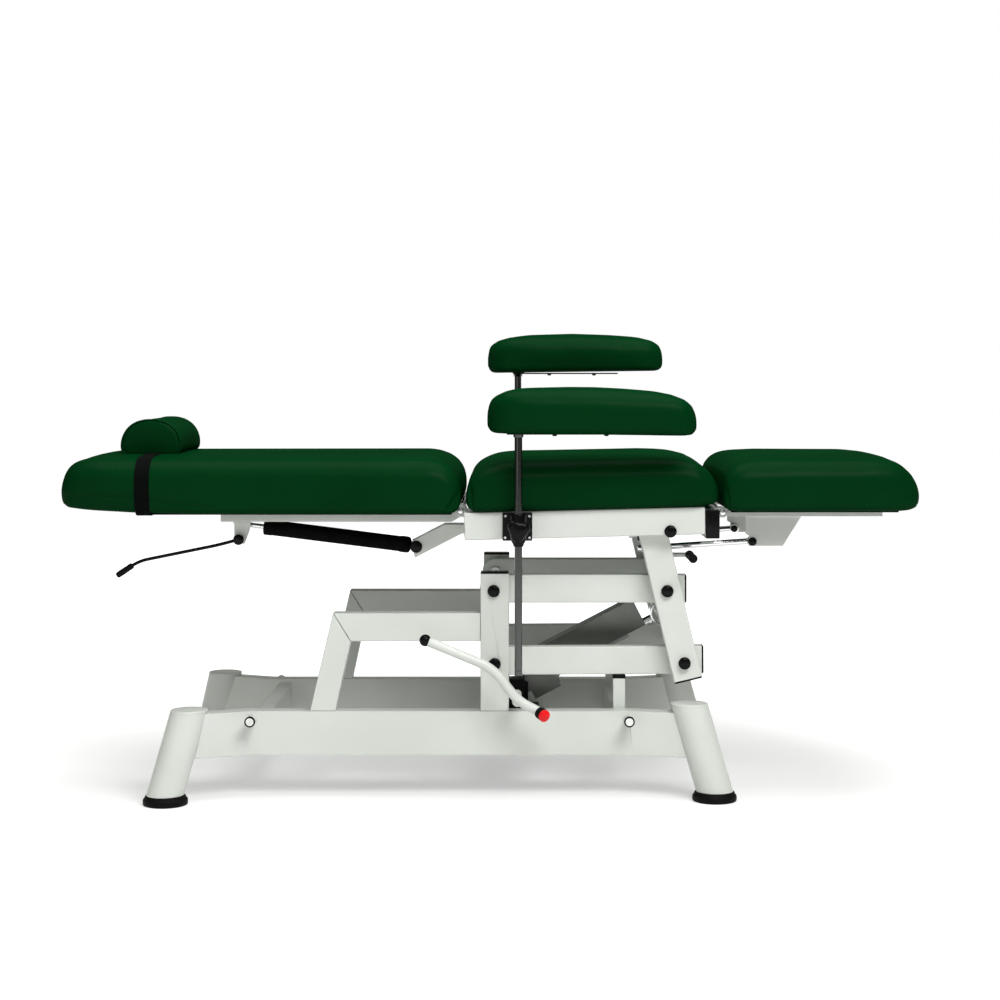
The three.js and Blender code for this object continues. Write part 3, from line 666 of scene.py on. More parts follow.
# ------------------------------------------------------------------ steel frame
@dataclass
class SteelFrame:
    """The coated tubes and plates: finer copies of the CAD pieces with rolled edges."""

    edge: float = 0.0009
    merge: float = 0.00002

    def build(self) -> None:
        """Rebuilds each coated or plated node with eased edges and its finish, except the ram
        cylinder, whose white coat is swapped for a dark metal as painted shade.
        """
        slots = {s["node"]: s["material_slot"] for s in frame["record"]["subparts"]}
        finishes = {"frame": WHITE, "chrome": CHROME, "rubber": BLACK_RUBBER,
                    "black_metal": BLACK_COAT, "black_plastic": BLACK_PLASTIC}
        own = ("foot_tube", "rubber_foot", "pump_pedal", "clamp_knob", "arm_post",
               "spring_cylinder", "back_release", "leg_release", "head_pillow", "arm_clamp")
        for node, slot in slots.items():
            if node.startswith(own) or slot not in finishes:
                continue
            # The ram cylinder takes the dark painted-shade metal in place of its white frame coat.
            own_finish = RAM_PAINTED_SHADE if node == "ram_cylinder" else finishes[slot]
            self.refine(node, slot, own_finish)

    def refine(self, node: str, slot: str, finish: bpy.types.Material) -> None:
        """Copies a CAD node, eases its edges and lets the copy stand for it."""
        source = frame["nodes"][node]
        obj = bpy.data.objects.new(f"{node}_finished", source.data.copy())
        bpy.context.scene.collection.objects.link(obj)
        with_bmesh(obj, lambda bm: bmesh.ops.remove_doubles(
            bm, verts=bm.verts, dist=self.merge))
        bevelled(obj, self.edge, 2, 40)
        dress(obj, finish, 50)
        even = obj.modifiers.new("even_shading", "WEIGHTED_NORMAL")
        even.keep_sharp = True
        apply_modifiers(obj)
        place(obj, source["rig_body"], slot, node)


@dataclass
class Foot:
    """One leaning foot: a capped tube cut level, on a moulded rubber ring."""

    end: str
    side: Side
    top: Point
    radius: float = 0.0375
    sides: int = 72

    def build(self) -> None:
        """Builds the tube with its cap seam, and the rubber ring."""
        tag = f"{self.end}_{self.side.tag}"
        low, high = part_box(f"rubber_foot_{tag}")
        base = Vector(((low.x + high.x) / 2, (low.y + high.y) / 2, high.z + 0.0003))
        top = Vector((self.top[0], self.top[1] * self.side.value, self.top[2]))
        r, tall = self.radius, top.z - base.z
        seam = 0.0042
        profile = [(r, 0), (r, tall * 0.5), (r, tall - seam - 0.0006),
                   (r - 0.0007, tall - seam - 0.0002), (r - 0.0007, tall - seam + 0.0002),
                   (r, tall - seam + 0.0006), (r, tall - 0.0010), (r - 0.0004, tall - 0.0003),
                   (r - 0.0014, tall), (r - 0.012, tall + 0.0012), (0.0004, tall + 0.0018)]
        axis = (top - base).normalized()
        lean = Vector((axis.x, axis.y, 0)).normalized()
        cross = Vector((-lean.y, lean.x, 0))
        rings = [[base + axis * (height / axis.z) + lean * (radius * math.cos(a) / axis.z)
                  + cross * (radius * math.sin(a)) for a in angles(self.sides)]
                 for radius, height in profile]
        tube = skinned(f"foot_{tag}_tube", rings, WHITE)
        place(tube, "base", "frame", f"foot_tube_{tag}")
        ring = [(0.0005, 0), (0.0436, 0), (0.0452, 0.0006), (0.0462, 0.002), (0.0466, 0.005),
                (0.0465, 0.010), (0.0458, 0.0125), (0.0436, 0.0142), (0.0428, 0.0152),
                (0.0424, 0.0178), (0.0414, 0.0192), (0.0398, 0.0199), (0.0005, 0.0199)]
        pad = turned(f"foot_{tag}_ring", ring, (base.x, base.y, 0), (0, 0, 1), BLACK_RUBBER, 72)
        place(pad, "base", "rubber", f"rubber_foot_{tag}")


# ------------------------------------------------------------------ small fittings
@dataclass
class DomedCap:
    """A black snap-on cap over a bolt head or pivot end."""

    radius: float = 0.013
    height: float = 0.008

    def build(self, name: str, at: Point, outward: Point, body: str) -> None:
        """Builds a cap at a point, facing outward."""
        r, h = self.radius, self.height
        profile = [(r, 0), (r, h * 0.35), (r * 0.97, h * 0.55), (r * 0.88, h * 0.75),
                   (r * 0.7, h * 0.9), (r * 0.45, h * 0.98), (0.0004, h)]
        cap = turned(name, profile, at, outward, BLACK_PLASTIC, 36)
        place(cap, body, "black_plastic")


@dataclass
class EndPlug:
    """A black plug in the open end of a rectangular tube."""

    lip: float = 0.0028
    round: float = 0.003

    def build(self, name: str, centre: Point, size: tuple[float, float], pitch: float,
              body: str) -> None:
        """Builds a plug.

        Args:
            name: The piece's name.
            centre: The middle of the tube's end.
            size: The end's width in y and its height.
            pitch: How far the tube's direction is turned down from +X, in radians.
            body: The body that it rides on.
        """
        half_y, half_z = size[0] / 2, size[1] / 2
        obj = slab(name, (-0.012, -half_y, -half_z), (self.lip, half_y, half_z),
                   BLACK_PLASTIC, self.round, 3)
        turn = Matrix.Rotation(pitch, 4, "Y")
        obj.data.transform(Matrix.Translation(Vector(centre)) @ turn)

        def shrink(bm: bmesh.types.BMesh) -> None:
            inverse = (Matrix.Translation(Vector(centre)) @ turn).inverted()
            forward = inverse.inverted()
            for vert in bm.verts:
                local = inverse @ vert.co
                if local.x < -0.002:
                    local.y *= 1 - 0.0074 / size[0] * 2
                    local.z *= 1 - 0.0074 / size[1] * 2
                    vert.co = forward @ local

        with_bmesh(obj, shrink)
        place(obj, body, "black_plastic")


@dataclass
class Fittings:
    """Caps, plugs, peg ends, stop caps and screws."""

    arm_y: float = 0.190
    bolt_y: float = 0.251
    leg_pin: tuple[float, float] = (0.552, 0.5355)
    peg_z: float = 0.167

    def build(self) -> None:
        """Builds every small fitting."""
        cap = DomedCap()
        plug = EndPlug()
        for side in Side:
            s, tag = side.value, side.tag
            out = (0, s, 0)
            upper, lower, carriage = (JOINT_AT[name] for name in (
                "lift", "lower_arm_pivot", "carriage_pivot"))
            for level, at in (("upper", upper), ("lower", lower)):
                cap.build(f"cap_post_{level}_{tag}", (at[0], s * self.bolt_y, at[2]), out, "base")
            cap.build(f"cap_leg_upper_{tag}", (carriage[0], s * 0.2537, carriage[2]), out,
                      "carriage")
            centre = middle("pivot_shaft_lower")
            cap.build(f"cap_leg_lower_{tag}", (centre.x, s * 0.2567, centre.z), out, "carriage")
            cap.build(f"cap_rail_bolt_{tag}", (0.3706, s * 0.281, 0.564), out, "carriage")
            pin = DomedCap(0.009, 0.005)
            x, z = self.leg_pin
            pin.build(f"cap_pin_inner_{tag}", (x, s * 0.1755, z), (0, -s, 0), "legrest")
            pin.build(f"cap_pin_outer_{tag}", (x, s * 0.1935, z), out, "legrest")
            trunnion = turned(f"trunnion_{tag}", [
                (0.0115, 0), (0.0115, 0.002), (0.0105, 0.003), (0.0004, 0.0034)],
                (upper[0], s * 0.1685, upper[2]), (0, -s, 0), ZINC, 36)
            place(trunnion, "base", "chrome")
            self.arm_plugs(side, plug)
            self.peg_ends(side)
            self.stop_cap(side)

    def arm_plugs(self, side: Side, plug: EndPlug) -> None:
        """Plugs the lift arms, the carriage leg, the cross tube and the post."""
        tag, y = side.tag, side.value * self.arm_y
        for level, body in (("upper", "upper_arms"), ("lower", "lower_arms")):
            _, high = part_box(f"{level}_arm_{tag}")
            pitch = -math.atan2(0.0025, 0.4) if level == "lower" else 0
            drop = 0.0002 if level == "lower" else 0
            z = high.z - 0.030 + drop
            plug.build(f"plug_{level}_arm_{tag}", (high.x, y, z), (0.030, 0.060), pitch, body)
        lean = math.atan2(0.036, 0.1515)
        down = Vector((math.sin(lean), 0, -math.cos(lean)))
        centre = middle("pivot_shaft_lower")
        end = Vector((centre.x, 0, centre.z)) + down * 0.037
        end.y = side.value * 0.2307
        plug.build(f"plug_carriage_leg_{tag}", end, (0.040, 0.060),
                   math.atan2(-down.z, down.x), "carriage")
        self.cross_plug(side)
        _, post_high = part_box(f"tower_post_{tag}")
        plug.build(f"plug_post_{tag}", (0.002, side.value * 0.228, post_high.z),
                   (0.040, 0.060), -math.pi / 2, "base")

    def cross_plug(self, side: Side) -> None:
        """Plugs the seat's foot end cross tube, whose ends face sideways."""
        _, rail_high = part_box(f"seat_rail_{side.tag}")
        x0 = rail_high.x + 0.0003
        y0, y1 = span(side, 0.272, 0.2838)
        obj = slab(f"plug_cross_{side.tag}", (x0, y0, 0.549), (x0 + 0.029, y1, 0.610),
                   BLACK_PLASTIC, 0.0025, 3)
        place(obj, "carriage", "black_plastic")

    def peg_ends(self, side: Side) -> None:
        """White buttons with a black ring on the ends of the side pegs."""
        for end, x in (("head", -0.509), ("foot", 0.284)):
            y = side.value * 0.293
            out = (0, side.value, 0)
            ring = turned(f"peg_ring_{end}_{side.tag}", [
                (0.0102, -0.004), (0.0112, -0.0035), (0.0112, 0.0012), (0.0104, 0.002),
                (0.0084, 0.002), (0.0082, 0.0012), (0.0005, 0.0012)], (x, y, self.peg_z), out,
                BLACK_RUBBER, 40)
            place(ring, "base", "rubber")
            face = turned(f"peg_face_{end}_{side.tag}", [
                (0.0082, 0.0008), (0.0082, 0.0018), (0.0076, 0.0024), (0.0026, 0.0026),
                (0.0022, 0.0020), (0.0003, 0.0018)], (x, y, self.peg_z), out,
                WHITE_PLASTIC, 40)
            place(face, "base", "frame")

    def stop_cap(self, side: Side) -> None:
        """A rubber cap over the top of a stop stub."""
        x = 0.267
        y = side.value * self.arm_y
        half = 0.0138
        obj = slab(f"stop_cap_{side.tag}", (x - half, y - half, 0.2445),
                   (x + half, y + half, 0.2519), BLACK_RUBBER, 0.0015, 3)
        place(obj, "base", "rubber")


# ------------------------------------------------------------------ cushions
Curve = Sequence[tuple[float, float]]


@dataclass
class Cushion:
    """A foam cushion under a tight cover, lofted from sections across its length.

    The top, bottom and half-width curves give a value for each x. The block is built
    smaller by ease, swells by at most swell, and then each pleat is pressed in: its two
    ends as x, z, x, z, then its width and depth.
    """

    name: str
    top: Curve
    bottom: Curve
    width: Curve
    centre_y: float = 0.0
    side_round: float = 0.040
    foot_round: float = 0.008
    crown: float = 0.006
    ease: float = 0.0035
    end_swell: float = 0.001
    swell: float = 0.005
    voxel: float = 0.006
    taper_head: float = 0.0
    pleats: Sequence[Point] = field(default_factory=tuple)

    def build(self) -> bpy.types.Object:
        """Builds the cushion, inflates it and adds its folds."""
        obj = self.blank()
        obj = inflate(obj, self.voxel, self.swell)
        self.shape_details(obj)
        dress(obj, GREEN, 70)
        return obj

    def blank(self) -> bpy.types.Object:
        """The plain padded block, a little smaller than the finished cushion."""
        x0, x1 = self.top[0][0], self.top[-1][0]
        count = max(24, int((x1 - x0) / 0.006))
        along = 0.5 - 0.5 * np.cos(np.linspace(0, math.pi, count))
        along = 0.55 * along + 0.45 * np.linspace(0, 1, count)
        rings: list[list[Point]] = []
        middle, shrink = (x0 + x1) / 2, 1 + 2 * self.end_swell / (x1 - x0)
        for k in along:
            x = x0 + (x1 - x0) * float(k)
            high = float(np.interp(x, *zip(*self.top))) - self.ease
            low = float(np.interp(x, *zip(*self.bottom))) + self.ease * 0.3
            half = float(np.interp(x, *zip(*self.width))) - self.ease
            section = self.section(half, low, max(high, low + 0.006))
            place_x = middle + (x - middle) * shrink
            rings.append([(place_x, self.centre_y + y, z) for y, z in section])
        return skinned(self.name, rings, GREEN, 70)

    def section(self, half: float, low: float, high: float) -> list[tuple[float, float]]:
        """A section across the cushion: flat below, rounded sides and a slight crown.

        Args:
            half: Half its width.
            low: Its underside.
            high: Its top, away from the crown.

        Returns:
            Points of (y, z) in order.
        """
        over = min(self.side_round, half * 0.9, (high - low) * 0.62)
        under = min(self.foot_round, half * 0.9, (high - low) * 0.3)
        points = []
        corners = [(1, low + under, under, -90), (1, high - over, over, 0),
                   (-1, high - over, over, 90), (-1, low + under, under, 180)]
        for sign, z, radius, start in corners:
            for i in range(9):
                a = math.radians(start + 90 * i / 8)
                points.append((sign * (half - radius) + radius * math.cos(a),
                               z + radius * math.sin(a)))
            if start == 0:
                span_y = half - over
                for i in range(1, 12):
                    points.append((span_y * (1 - 2 * i / 12), high))
        crowned = []
        for y, z in points:
            level = max(0.0, (z - low) / (high - low))
            crowned.append((y, z + self.crown * level * (1 - (y / half) ** 2)))
        return crowned

    def shape_details(self, obj: bpy.types.Object) -> None:
        """Presses the folds into the cover and tapers the underside of the head end."""
        mesh = obj.data
        low, high = self.bottom[len(self.bottom) // 2][1], self.top[len(self.top) // 2][1]
        co = np.zeros(len(mesh.vertices) * 3)
        mesh.vertices.foreach_get("co", co)
        co = co.reshape(-1, 3)
        if self.taper_head:
            near_end = np.clip((self.top[0][0] + 0.36 - co[:, 0]) / 0.36, 0, 1)
            lower = np.clip(1 - (co[:, 2] - low) / ((high - low) * 0.42), 0, 1)
            pull = near_end * near_end * (3 - 2 * near_end) * lower
            co[:, 1] *= 1 - self.taper_head * pull
        co[:, 2] = np.maximum(co[:, 2], np.interp(co[:, 0], *zip(*self.bottom)))
        normal = np.zeros(len(mesh.vertices) * 3)
        mesh.vertices.foreach_get("normal", normal)
        normal = normal.reshape(-1, 3)
        for x0, z0, x1, z1, width, depth in self.pleats:
            a, b = np.array([x0, z0]), np.array([x1, z1])
            along = b - a
            flat = co[:, [0, 2]] - a
            t = np.clip(flat @ along / (along @ along), 0, 1)
            gap = np.linalg.norm(flat - t[:, None] * along, axis=1)
            side = np.clip(np.abs(normal[:, 1]) * 1.6 - 0.3, 0, 1)
            fade = np.sin(np.pi * np.clip(t, 0.02, 0.98)) ** 0.5
            ridge = np.exp(-(gap / width) ** 2) * fade * side
            co -= normal * (ridge * depth)[:, None]
        mesh.vertices.foreach_set("co", co.ravel())
        mesh.update()


def evened(mesh: bpy.types.Mesh, move: np.ndarray, rounds: int) -> np.ndarray:
    """Evens out how a mesh's points move, each towards what its neighbours do."""
    pairs = np.zeros(len(mesh.edges) * 2, dtype=np.int64)
    mesh.edges.foreach_get("vertices", pairs)
    a, b = pairs.reshape(-1, 2).T
    count = len(mesh.vertices)
    near = np.maximum(np.bincount(pairs, minlength=count), 1)
    for _ in range(rounds):
        for axis in range(3):
            total = (np.bincount(a, move[b, axis], count) + np.bincount(b, move[a, axis], count))
            move[:, axis] = 0.4 * move[:, axis] + 0.6 * total / near
    return move


PRESSURE = 3.5
FRAMES = 20
EVENING_ROUNDS = 40


def inflate(obj: bpy.types.Object, voxel: float, cap: float) -> bpy.types.Object:
    """Blows a padded piece up as cloth under pressure, each point moving at most cap.

    Args:
        obj: The plain closed piece.
        voxel: Size of the remesh.
        cap: How far a point may move, in metres.

    Returns:
        The same object with its swollen mesh.
    """
    remesh = obj.modifiers.new("even", "REMESH")
    remesh.mode = "VOXEL"
    remesh.voxel_size = voxel
    apply_modifiers(obj)
    start = np.zeros(len(obj.data.vertices) * 3)
    obj.data.vertices.foreach_get("co", start)
    cloth = obj.modifiers.new("cover", "CLOTH")
    cloth.settings.use_pressure = True
    cloth.settings.uniform_pressure_force = PRESSURE
    cloth.settings.quality = 5
    cloth.settings.mass = 0.4
    cloth.settings.tension_stiffness = 25
    cloth.settings.compression_stiffness = 25
    cloth.settings.effector_weights.gravity = 0
    cloth.collision_settings.use_collision = False
    scene = bpy.context.scene
    cloth.point_cache.frame_start = 1
    cloth.point_cache.frame_end = FRAMES
    for number in range(1, FRAMES + 1):
        scene.frame_set(number)
    graph = bpy.context.evaluated_depsgraph_get()
    blown = obj.evaluated_get(graph).to_mesh()
    end = np.zeros(len(blown.vertices) * 3)
    blown.vertices.foreach_get("co", end)
    obj.modifiers.clear()
    scene.frame_set(1)
    start, end = start.reshape(-1, 3), end.reshape(-1, 3)
    move = end - start
    length = np.linalg.norm(move, axis=1, keepdims=True)
    move *= np.minimum(1, cap / np.maximum(length, 1e-9))
    move = evened(obj.data, move, EVENING_ROUNDS)
    obj.data.vertices.foreach_set("co", (start + move).ravel())
    smooth = obj.modifiers.new("even_out", "SMOOTH")
    smooth.factor = 0.5
    smooth.iterations = 6
    fine = obj.modifiers.new("fine", "SUBSURF")
    fine.levels = fine.render_levels = 1
    apply_modifiers(obj)
    return obj


@dataclass
class Couch:
    """The three cushions with their boards."""

    half: float = 0.306

    def build(self) -> None:
        """Builds the cushions and the black board edge under the backrest and the leg rest."""
        h = self.half
        back = Cushion(
            "backrest_cover",
            top=[(-0.917, 0.640), (-0.915, 0.662), (-0.909, 0.682), (-0.899, 0.697),
                 (-0.884, 0.7075), (-0.865, 0.7120), (-0.84, 0.7135), (-0.80, 0.7140),
                 (-0.70, 0.7143), (-0.56, 0.7145), (-0.15, 0.7150), (-0.13, 0.7130),
                 (-0.105, 0.7060), (-0.087, 0.6950), (-0.075, 0.680), (-0.069, 0.665),
                 (-0.066, 0.648)],
            bottom=[(-0.917, 0.628), (-0.914, 0.618), (-0.90, 0.611), (-0.83, 0.606),
                    (-0.75, 0.6018), (-0.68, 0.6002), (-0.6, 0.5995), (-0.085, 0.5995),
                    (-0.075, 0.602), (-0.068, 0.610), (-0.066, 0.625)],
            width=[(-0.917, 0.242), (-0.914, 0.264), (-0.906, 0.281), (-0.893, 0.292),
                   (-0.87, 0.300), (-0.83, 0.3045), (-0.6, h), (-0.12, h), (-0.09, 0.303),
                   (-0.075, 0.297), (-0.068, 0.287), (-0.066, 0.28)],
            taper_head=0.07,
            pleats=[(-0.070, 0.650, -0.098, 0.606, 0.004, 0.007),
                    (-0.071, 0.645, -0.084, 0.604, 0.0035, 0.006),
                    (-0.835, 0.639, -0.700, 0.629, 0.0032, 0.0022),
                    (-0.730, 0.631, -0.590, 0.613, 0.0032, 0.0022)])
        seat = Cushion(
            "seat_cover",
            top=[(-0.0605, 0.638), (-0.058, 0.657), (-0.050, 0.676), (-0.036, 0.690),
                 (-0.013, 0.7005), (0.012, 0.707), (0.043, 0.7100), (0.15, 0.7120),
                 (0.33, 0.7155), (0.37, 0.7145), (0.40, 0.7125), (0.43, 0.706),
                 (0.450, 0.692), (0.464, 0.674), (0.472, 0.655), (0.4745, 0.635)],
            bottom=[(-0.0605, 0.618), (-0.055, 0.6065), (-0.04, 0.6042), (0.43, 0.6160),
                    (0.466, 0.6180), (0.4745, 0.625)],
            width=[(-0.0605, 0.285), (-0.055, 0.298), (-0.03, 0.304), (0.0, h), (0.43, h),
                   (0.46, 0.300), (0.472, 0.29), (0.4745, 0.28)],
            pleats=[(-0.052, 0.668, -0.045, 0.612, 0.0045, 0.006)])
        leg = Cushion(
            "leg_cover",
            top=[(0.480, 0.640), (0.481, 0.665), (0.486, 0.683), (0.497, 0.697),
                 (0.515, 0.7075), (0.54, 0.712), (0.60, 0.7145), (0.80, 0.7135),
                 (0.835, 0.7105), (0.851, 0.7055), (0.863, 0.699), (0.8845, 0.681),
                 (0.898, 0.660), (0.905, 0.640), (0.906, 0.636)],
            bottom=[(0.480, 0.622), (0.483, 0.609), (0.49, 0.6050), (0.88, 0.6055),
                    (0.893, 0.610), (0.902, 0.618), (0.906, 0.628)],
            width=[(0.480, 0.285), (0.485, 0.297), (0.51, 0.304), (0.80, h), (0.85, 0.300),
                   (0.875, 0.288), (0.893, 0.270), (0.902, 0.248), (0.906, 0.225)],
            pleats=[(0.484, 0.662, 0.492, 0.612, 0.004, 0.005)])
        nodes = {"backrest_cover": "backrest_cushion", "seat_cover": "seat_cushion",
                 "leg_cover": "leg_cushion"}
        for cushion in (back, seat, leg):
            obj = cushion.build()
            if cushion is leg:
                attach(obj, "legrest")
            else:
                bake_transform(obj)
            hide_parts(nodes[cushion.name])
            log.info("%s is padded", obj.name)
            if cushion is back:
                Pillow().build(obj)
        self.boards()

    def boards(self) -> None:
        """Black board edges between the backrest and leg cushions and their rails."""
        back = slab("board_back", (-0.740, -0.272, 0.5982), (-0.088, 0.272, 0.6010), BOARD, 0.0008)
        place(back, "backrest", "black_plastic")
        leg = slab("board_leg", (0.500, -0.272, 0.6032), (0.850, 0.272, 0.6062), BOARD, 0.0008)
        place(leg, "legrest", "black_plastic")


# ------------------------------------------------------------------ armrests
@dataclass
class Armrest:
    """A thick pad on a steel plate, with its post and screw knob.

    Its top curve, start and end are measured from the post. The sole gives the height of
    the underside at both ends, and hang is how far the plate stands off it.
    """

    side: Side
    top: Curve
    start: float = -0.0645
    end: float = 0.367
    half: float = 0.062
    corner: float = 0.040
    stem_z: float = 0.572
    sole: tuple[float, float] = (-0.001, -0.006)
    hang: float = 0.0
    sheet: tuple[float, float] = (-0.024, 0.208)

    def build(self) -> None:
        """Builds the pad, its plate, the post and the knob."""
        tag = self.side.tag
        post_low, post_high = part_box(f"arm_post_{tag}")
        pad_low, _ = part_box(f"arm_pad_{tag}")
        self.x, self.y = (post_low.x + post_high.x) / 2, (post_low.y + post_high.y) / 2
        self.z = pad_low.z
        self.pad(tag)
        self.plate(tag)
        self.post(tag, post_low.z)
        self.knob(tag)
        self.clamp(tag)

    def clamp(self, tag: str) -> None:
        """The block on the seat rail: a plate with two screws and a tapered collar."""
        low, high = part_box(f"arm_clamp_{tag}")
        face = self.side.value
        inner = low.y if face > 0 else high.y
        x, r = self.x, 0.016
        near = sorted((inner, inner + face * 0.008))
        pieces = [slab(f"clamp_plate_{tag}", (low.x, near[0], 0.545), (high.x, near[1], high.z),
                       BLACK_COAT, 0.0014, 2)]
        block_y = sorted((inner + face * 0.0075, self.y))
        pieces.append(slab(f"clamp_block_{tag}", (x - r, block_y[0], 0.552),
                           (x + r, block_y[1], high.z), BLACK_PLASTIC, 0.002, 2))
        sleeve = [(0.0083, 0.0), (0.0098, 0.0), (0.0104, 0.0010), (0.0110, 0.004),
                  (0.0136, 0.009), (0.0156, 0.012), (r, 0.016), (r, high.z - low.z - 0.003),
                  (r - 0.0008, high.z - low.z - 0.001), (r - 0.003, high.z - low.z),
                  (0.0083, high.z - low.z)]
        pieces.append(turned(f"clamp_sleeve_{tag}", sleeve, (x, self.y, low.z), (0, 0, 1),
                             BLACK_PLASTIC, 40))
        nose = [(0.0130, 0.0), (0.0130, 0.0125), (0.0122, 0.0136), (0.0060, 0.0140),
                (0.0004, 0.0140)]
        pieces.append(turned(f"clamp_nose_{tag}", nose, (x, self.y, self.stem_z), (0, face, 0),
                             BLACK_PLASTIC, 36))
        head = [(0.0028, 0.0), (0.0028, 0.0008), (0.0021, 0.0016), (0.0009, 0.0015),
                (0.0003, 0.0010)]
        corners = [(low.x + 0.0055, 0.5515), (high.x - 0.0055, 0.5515),
                   (low.x + 0.0060, 0.5965), (high.x - 0.0060, 0.5965)]
        for index, (along, up) in enumerate(corners):
            pieces.append(turned(f"clamp_screw_{index}_{tag}", head,
                                 (along, inner + face * 0.0078, up), (0, face, 0), ZINC, 20))
        place(join(f"clamp_body_{tag}", pieces), "carriage", "black_metal", f"arm_clamp_{tag}")

    def pad(self, tag: str) -> None:
        """The pad: half-round at the post and square with round corners at the far end."""
        stations = np.linspace(self.start, self.end, 60)
        width = []
        for u in stations:
            w = self.half
            if u < 0:
                w = self.half * math.sqrt(max(0.02, 1 - (u / self.start) ** 2))
            elif u > self.end - self.corner:
                k = (u - self.end + self.corner) / self.corner
                w = self.half - self.corner * (1 - math.sqrt(max(0.0, 1 - k * k)))
            width.append((self.x + float(u), w))
        height = [(self.x + u, self.z + h) for u, h in self.top]
        first, last = self.sole
        low = [(self.x + self.start, self.z + first + 0.012),
               (self.x + self.start + 0.008, self.z + first),
               (self.x + self.end - 0.010, self.z + last),
               (self.x + self.end, self.z + last + 0.008)]
        pad = Cushion(f"arm_cover_{tag}", height, low, width, self.y, side_round=0.026,
                      foot_round=0.008, crown=0.004, ease=0.003, swell=0.004, voxel=0.0042)
        place(pad.build(), f"armrest_{tag}", "vinyl", f"arm_pad_{tag}")

    def plate(self, tag: str) -> None:
        """The steel plate under the pad, with its collar round the post and two screws."""
        low = self.z - 0.0012 - self.hang
        sheet = slab(f"arm_plate_{tag}", (self.x + self.sheet[0], self.y - 0.022, low - 0.003),
                     (self.x + self.sheet[1], self.y + 0.022, low), BLACK_COAT, 0.0010, 2)
        place(sheet, f"armrest_{tag}", "black_metal")
        collar = turned(f"arm_collar_{tag}", [
            (0.0086, -0.010), (0.0096, -0.0097), (0.0100, -0.0090), (0.0106, -0.0045),
            (0.0135, -0.001), (0.0165, 0.0), (0.0086, 0.0)],
            (self.x, self.y, low + 0.0008), (0, 0, 1), DARK_CHROME, 40)
        place(collar, f"armrest_{tag}", "black_metal")
        for index, reach in enumerate((0.075, 0.182)):
            screw = turned(f"arm_screw_{index}_{tag}", [
                (0.0012, 0.0014), (0.0018, 0.0006), (0.0030, 0.0004), (0.0048, -0.0012),
                (0.0050, -0.0022), (0.0040, -0.0034), (0.0020, -0.0040), (0.0004, -0.0040)],
                (self.x + reach, self.y, low - 0.0026), (0, 0, 1), BLACK_COAT, 28)
            place(screw, f"armrest_{tag}", "chrome")

    def post(self, tag: str, foot: float) -> None:
        """The bright post with an eased foot and a machined ring."""
        r = 0.008
        top = self.z - 0.001
        ring = foot + 0.010
        profile = [(0.0004, foot), (r - 0.0012, foot), (r, foot + 0.0012), (r, ring),
                   (r - 0.0006, ring + 0.0004), (r - 0.0006, ring + 0.0016), (r, ring + 0.0020)]
        profile += [(r, foot + (top - foot) * k) for k in (0.25, 0.5, 0.75)]
        profile += [(r, top - 0.001), (0.0004, top)]
        post = turned(f"arm_rod_{tag}", profile, (self.x, self.y, 0), (0, 0, 1), DARK_CHROME, 48)
        place(post, f"post_{tag}", "chrome", f"arm_post_{tag}")

    def knob(self, tag: str) -> None:
        """A three-lobed hand knob with a domed face and a threaded stem."""
        low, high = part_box(f"clamp_knob_{tag}")
        centre = (low + high) / 2
        face = self.side.value
        inner = high.y - 0.0205 if face > 0 else low.y + 0.0205
        lobes, reach, depth = 3, 0.0250, 0.0060
        levels = [(0.0, 0.72), (0.0012, 0.84), (0.004, 0.94), (0.008, 1.0), (0.011, 1.0),
                  (0.0145, 0.94), (0.0172, 0.82), (0.0188, 0.66), (0.0198, 0.46), (0.0202, 0.24),
                  (0.0203, 0.02)]
        rings = []
        for level, scale in levels:
            ring = []
            for a in angles(120):
                wave = 0.5 + 0.5 * math.cos(lobes * (a - math.radians(140)))
                r = (reach - depth * (1 - wave) * min(1, scale * 1.1)) * scale
                ring.append((centre.x + r * math.cos(a), inner + face * level,
                             self.stem_z + r * math.sin(a)))
            rings.append(ring)
        head = skinned(f"knob_head_{tag}", rings, BLACK_PLASTIC, 50)
        stem = turned(f"knob_stem_{tag}", [
            (0.0004, 0.001), (0.0050, 0.001), (0.0085, -0.0005), (0.0090, -0.004),
            (0.0050, -0.0046), (0.0048, -0.0100), (0.0004, -0.0104)],
            (centre.x, inner, self.stem_z), (0, face, 0), ZINC, 32)
        place(join(f"knob_{tag}", [head, stem]), f"knob_{tag}", "black_plastic",
              f"clamp_knob_{tag}")


